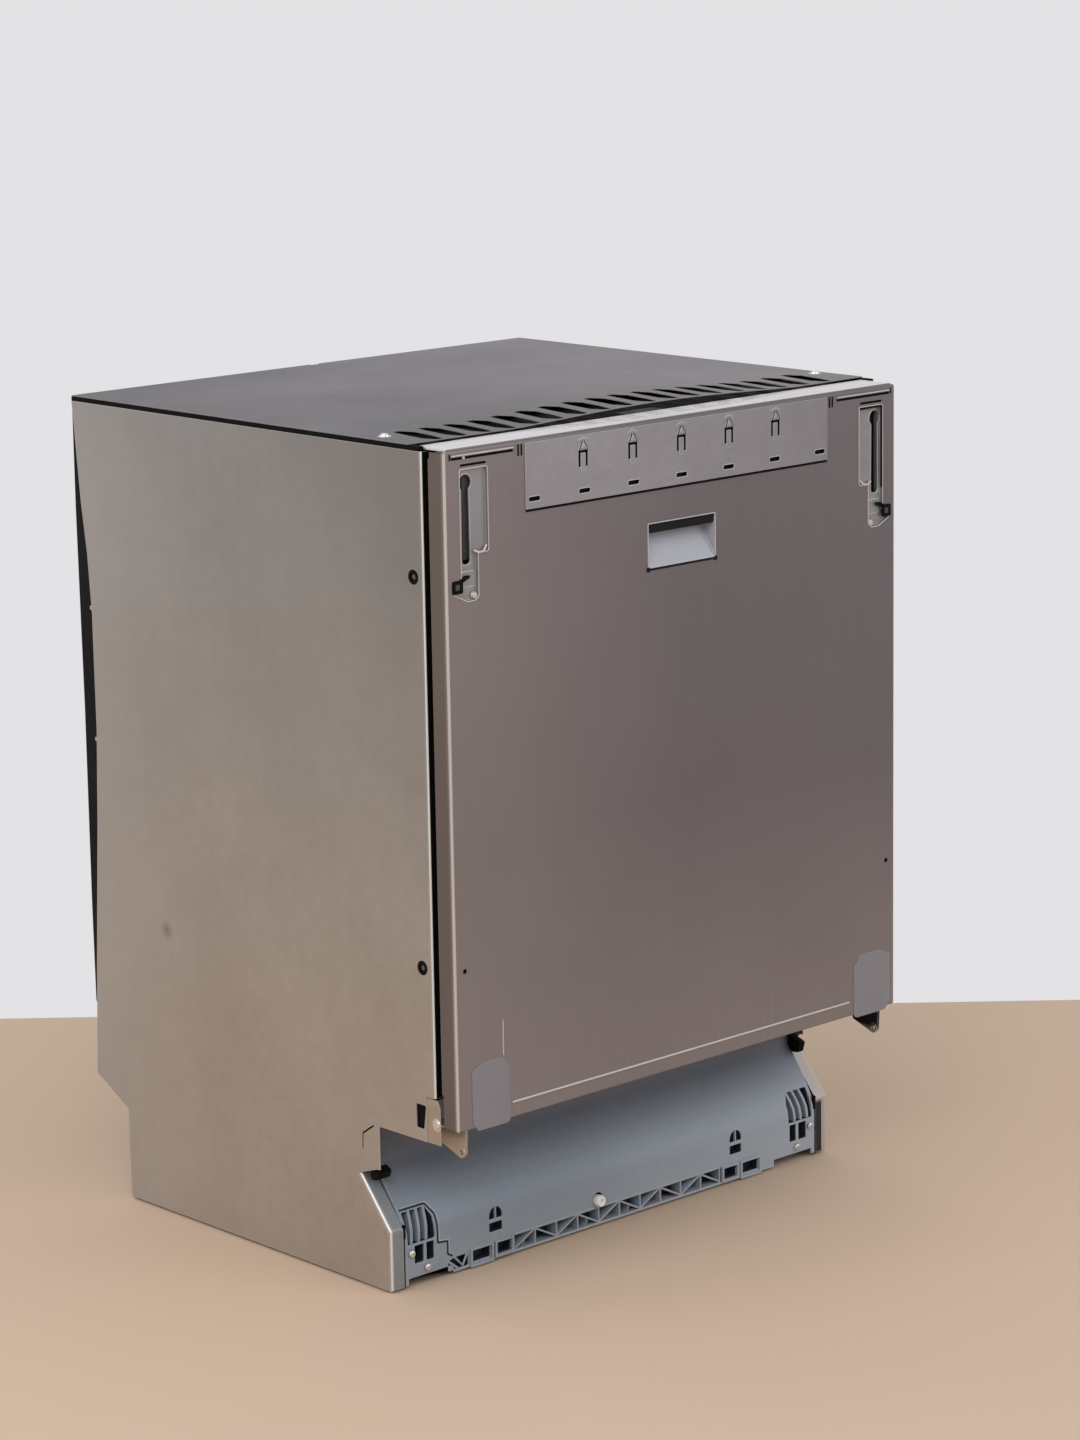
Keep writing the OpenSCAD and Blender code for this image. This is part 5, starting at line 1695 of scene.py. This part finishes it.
def add_door(bright):
    steel = door_steel()
    add_door_skin(steel)
    add_door_trim(highlight_zinc())
    add_door_lips(steel)
    # Black for the pocket clips, and for painted shadows on the door.
    black_clip_and_shade = rubber("clip_and_shadow_black", (8, 8, 8))
    add_door_dark_marks(black_clip_and_shade)
    add_door_felt(felt())
    add_deco_plate(plate_steel())
    add_handle_cup(moulded("cup_plastic", (166, 170, 178), 0.42), rubber("cup_shadow", (30, 30, 31)))
    add_keyhole_brackets(pressed_zinc())
    add_pocket_clips(black_clip_and_shade, rubber("pocket_grey", (72, 72, 76)))
    add_corner_pads(moulded("pad_plastic", (126, 124, 130), 0.45))
    add_light_strip(strip_coat(), rubber("strip_gap", (22, 22, 24)),
                    moulded("pip_plastic", (150, 148, 150), 0.3))
    add_hinge_arms(bright)


def add_wash_space():
    steel = satin_steel()
    frame_steel = satin_steel("frame_steel", (165, 165, 166), (0.05, 1, 1))
    add_door_liner(satin_steel("liner_steel", (176, 177, 178), (0.03, 1, 1)))
    add_tub(steel)
    add_tub_rim(frame_steel)
    add_gasket(rubber("gasket_rubber", (44, 44, 46)))
    coat = moulded("rack_coat", (176, 178, 182), 0.35, coat=0.2)
    grey = moulded("grey_plastic", (120, 122, 126), 0.42)
    add_lower_rack(coat)
    add_lower_brackets(grey)
    add_upper_rack(coat)
    add_upper_brackets(grey)
    add_wheels(moulded("wheel_plastic", (150, 152, 156), 0.4))
    add_cup_shelves(coat)
    add_tines(coat)
    add_basket(moulded("basket_plastic", (104, 106, 110), 0.45))
    add_spray_arm("lower_spray_arm", 218, moulded("arm_plastic", (136, 138, 142), 0.4))
    add_spray_arm("upper_spray_arm", 200, moulded("arm_plastic_upper", (136, 138, 142), 0.4))
    add_dispenser(moulded("dispenser_plastic", (98, 100, 105), 0.4))
    add_dispenser_lid(moulded("lid_plastic", (188, 190, 194), 0.35))
    add_rinse_cap(moulded("cap_plastic", (60, 62, 66), 0.4))
    add_springs(bright_metal())


def dress_inner_nodes():
    dark = moulded("dark_plastic", (46, 47, 50), 0.5)
    grey = moulded("inner_grey", (126, 128, 132), 0.45)
    white = moulded("inner_white", (216, 216, 212), 0.45)
    steel = satin_steel("filter_steel", (170, 170, 170), (1, 1, 1))
    for node in ("circulation_pump", "drain_pump", "drain_spigot", "power_inlet", "latch_catch", "sump",
                 "foot_front_left", "foot_front_right", "foot_rear"):
        dress(node, dark)
    for node in ("salt_cap", "filter_cylinder", "upper_feed_tube", "top_sprinkler"):
        dress(node, grey)
    for node in ("water_softener", "inlet_valve", "upper_rollers_front", "upper_rollers_rear"):
        dress(node, white)
    dress("filter_plate", steel)
    dress("upper_rack_rails", steel)
    dress("base_tray", moulded("tray_plastic", (58, 62, 68), 0.55))


def add_studio():
    """The camera at the photo's angle, the floor and the soft lights."""
    scene.view_settings.view_transform = "Standard"
    aim = (0, 0, 0.4)
    add_camera((-2.6858, FRONT - 2.7061, 1.3498), 42.7285, -12.2276, -0.9961, 102.77)
    add_floor(pale_floor(), 42.7, 0.62)
    add_world((0.985, 0.975, 1.0), 0.78)
    add_light("key", (-3.2, -2.4, 3.4), aim, (2.6, 2.0), 62, (1.0, 0.97, 0.94))
    add_light("front_fill", (1.6, -4.2, 2.2), aim, (2.4, 2.4), 38, (0.96, 0.98, 1.0))
    add_light("left_fill", (-4.0, 0.8, 1.8), aim, (2.0, 2.0), 34, (1.0, 0.98, 0.96))


bright_look = add_cabinet()
add_door(bright_look)
add_wash_space()
dress_inner_nodes()
add_studio()
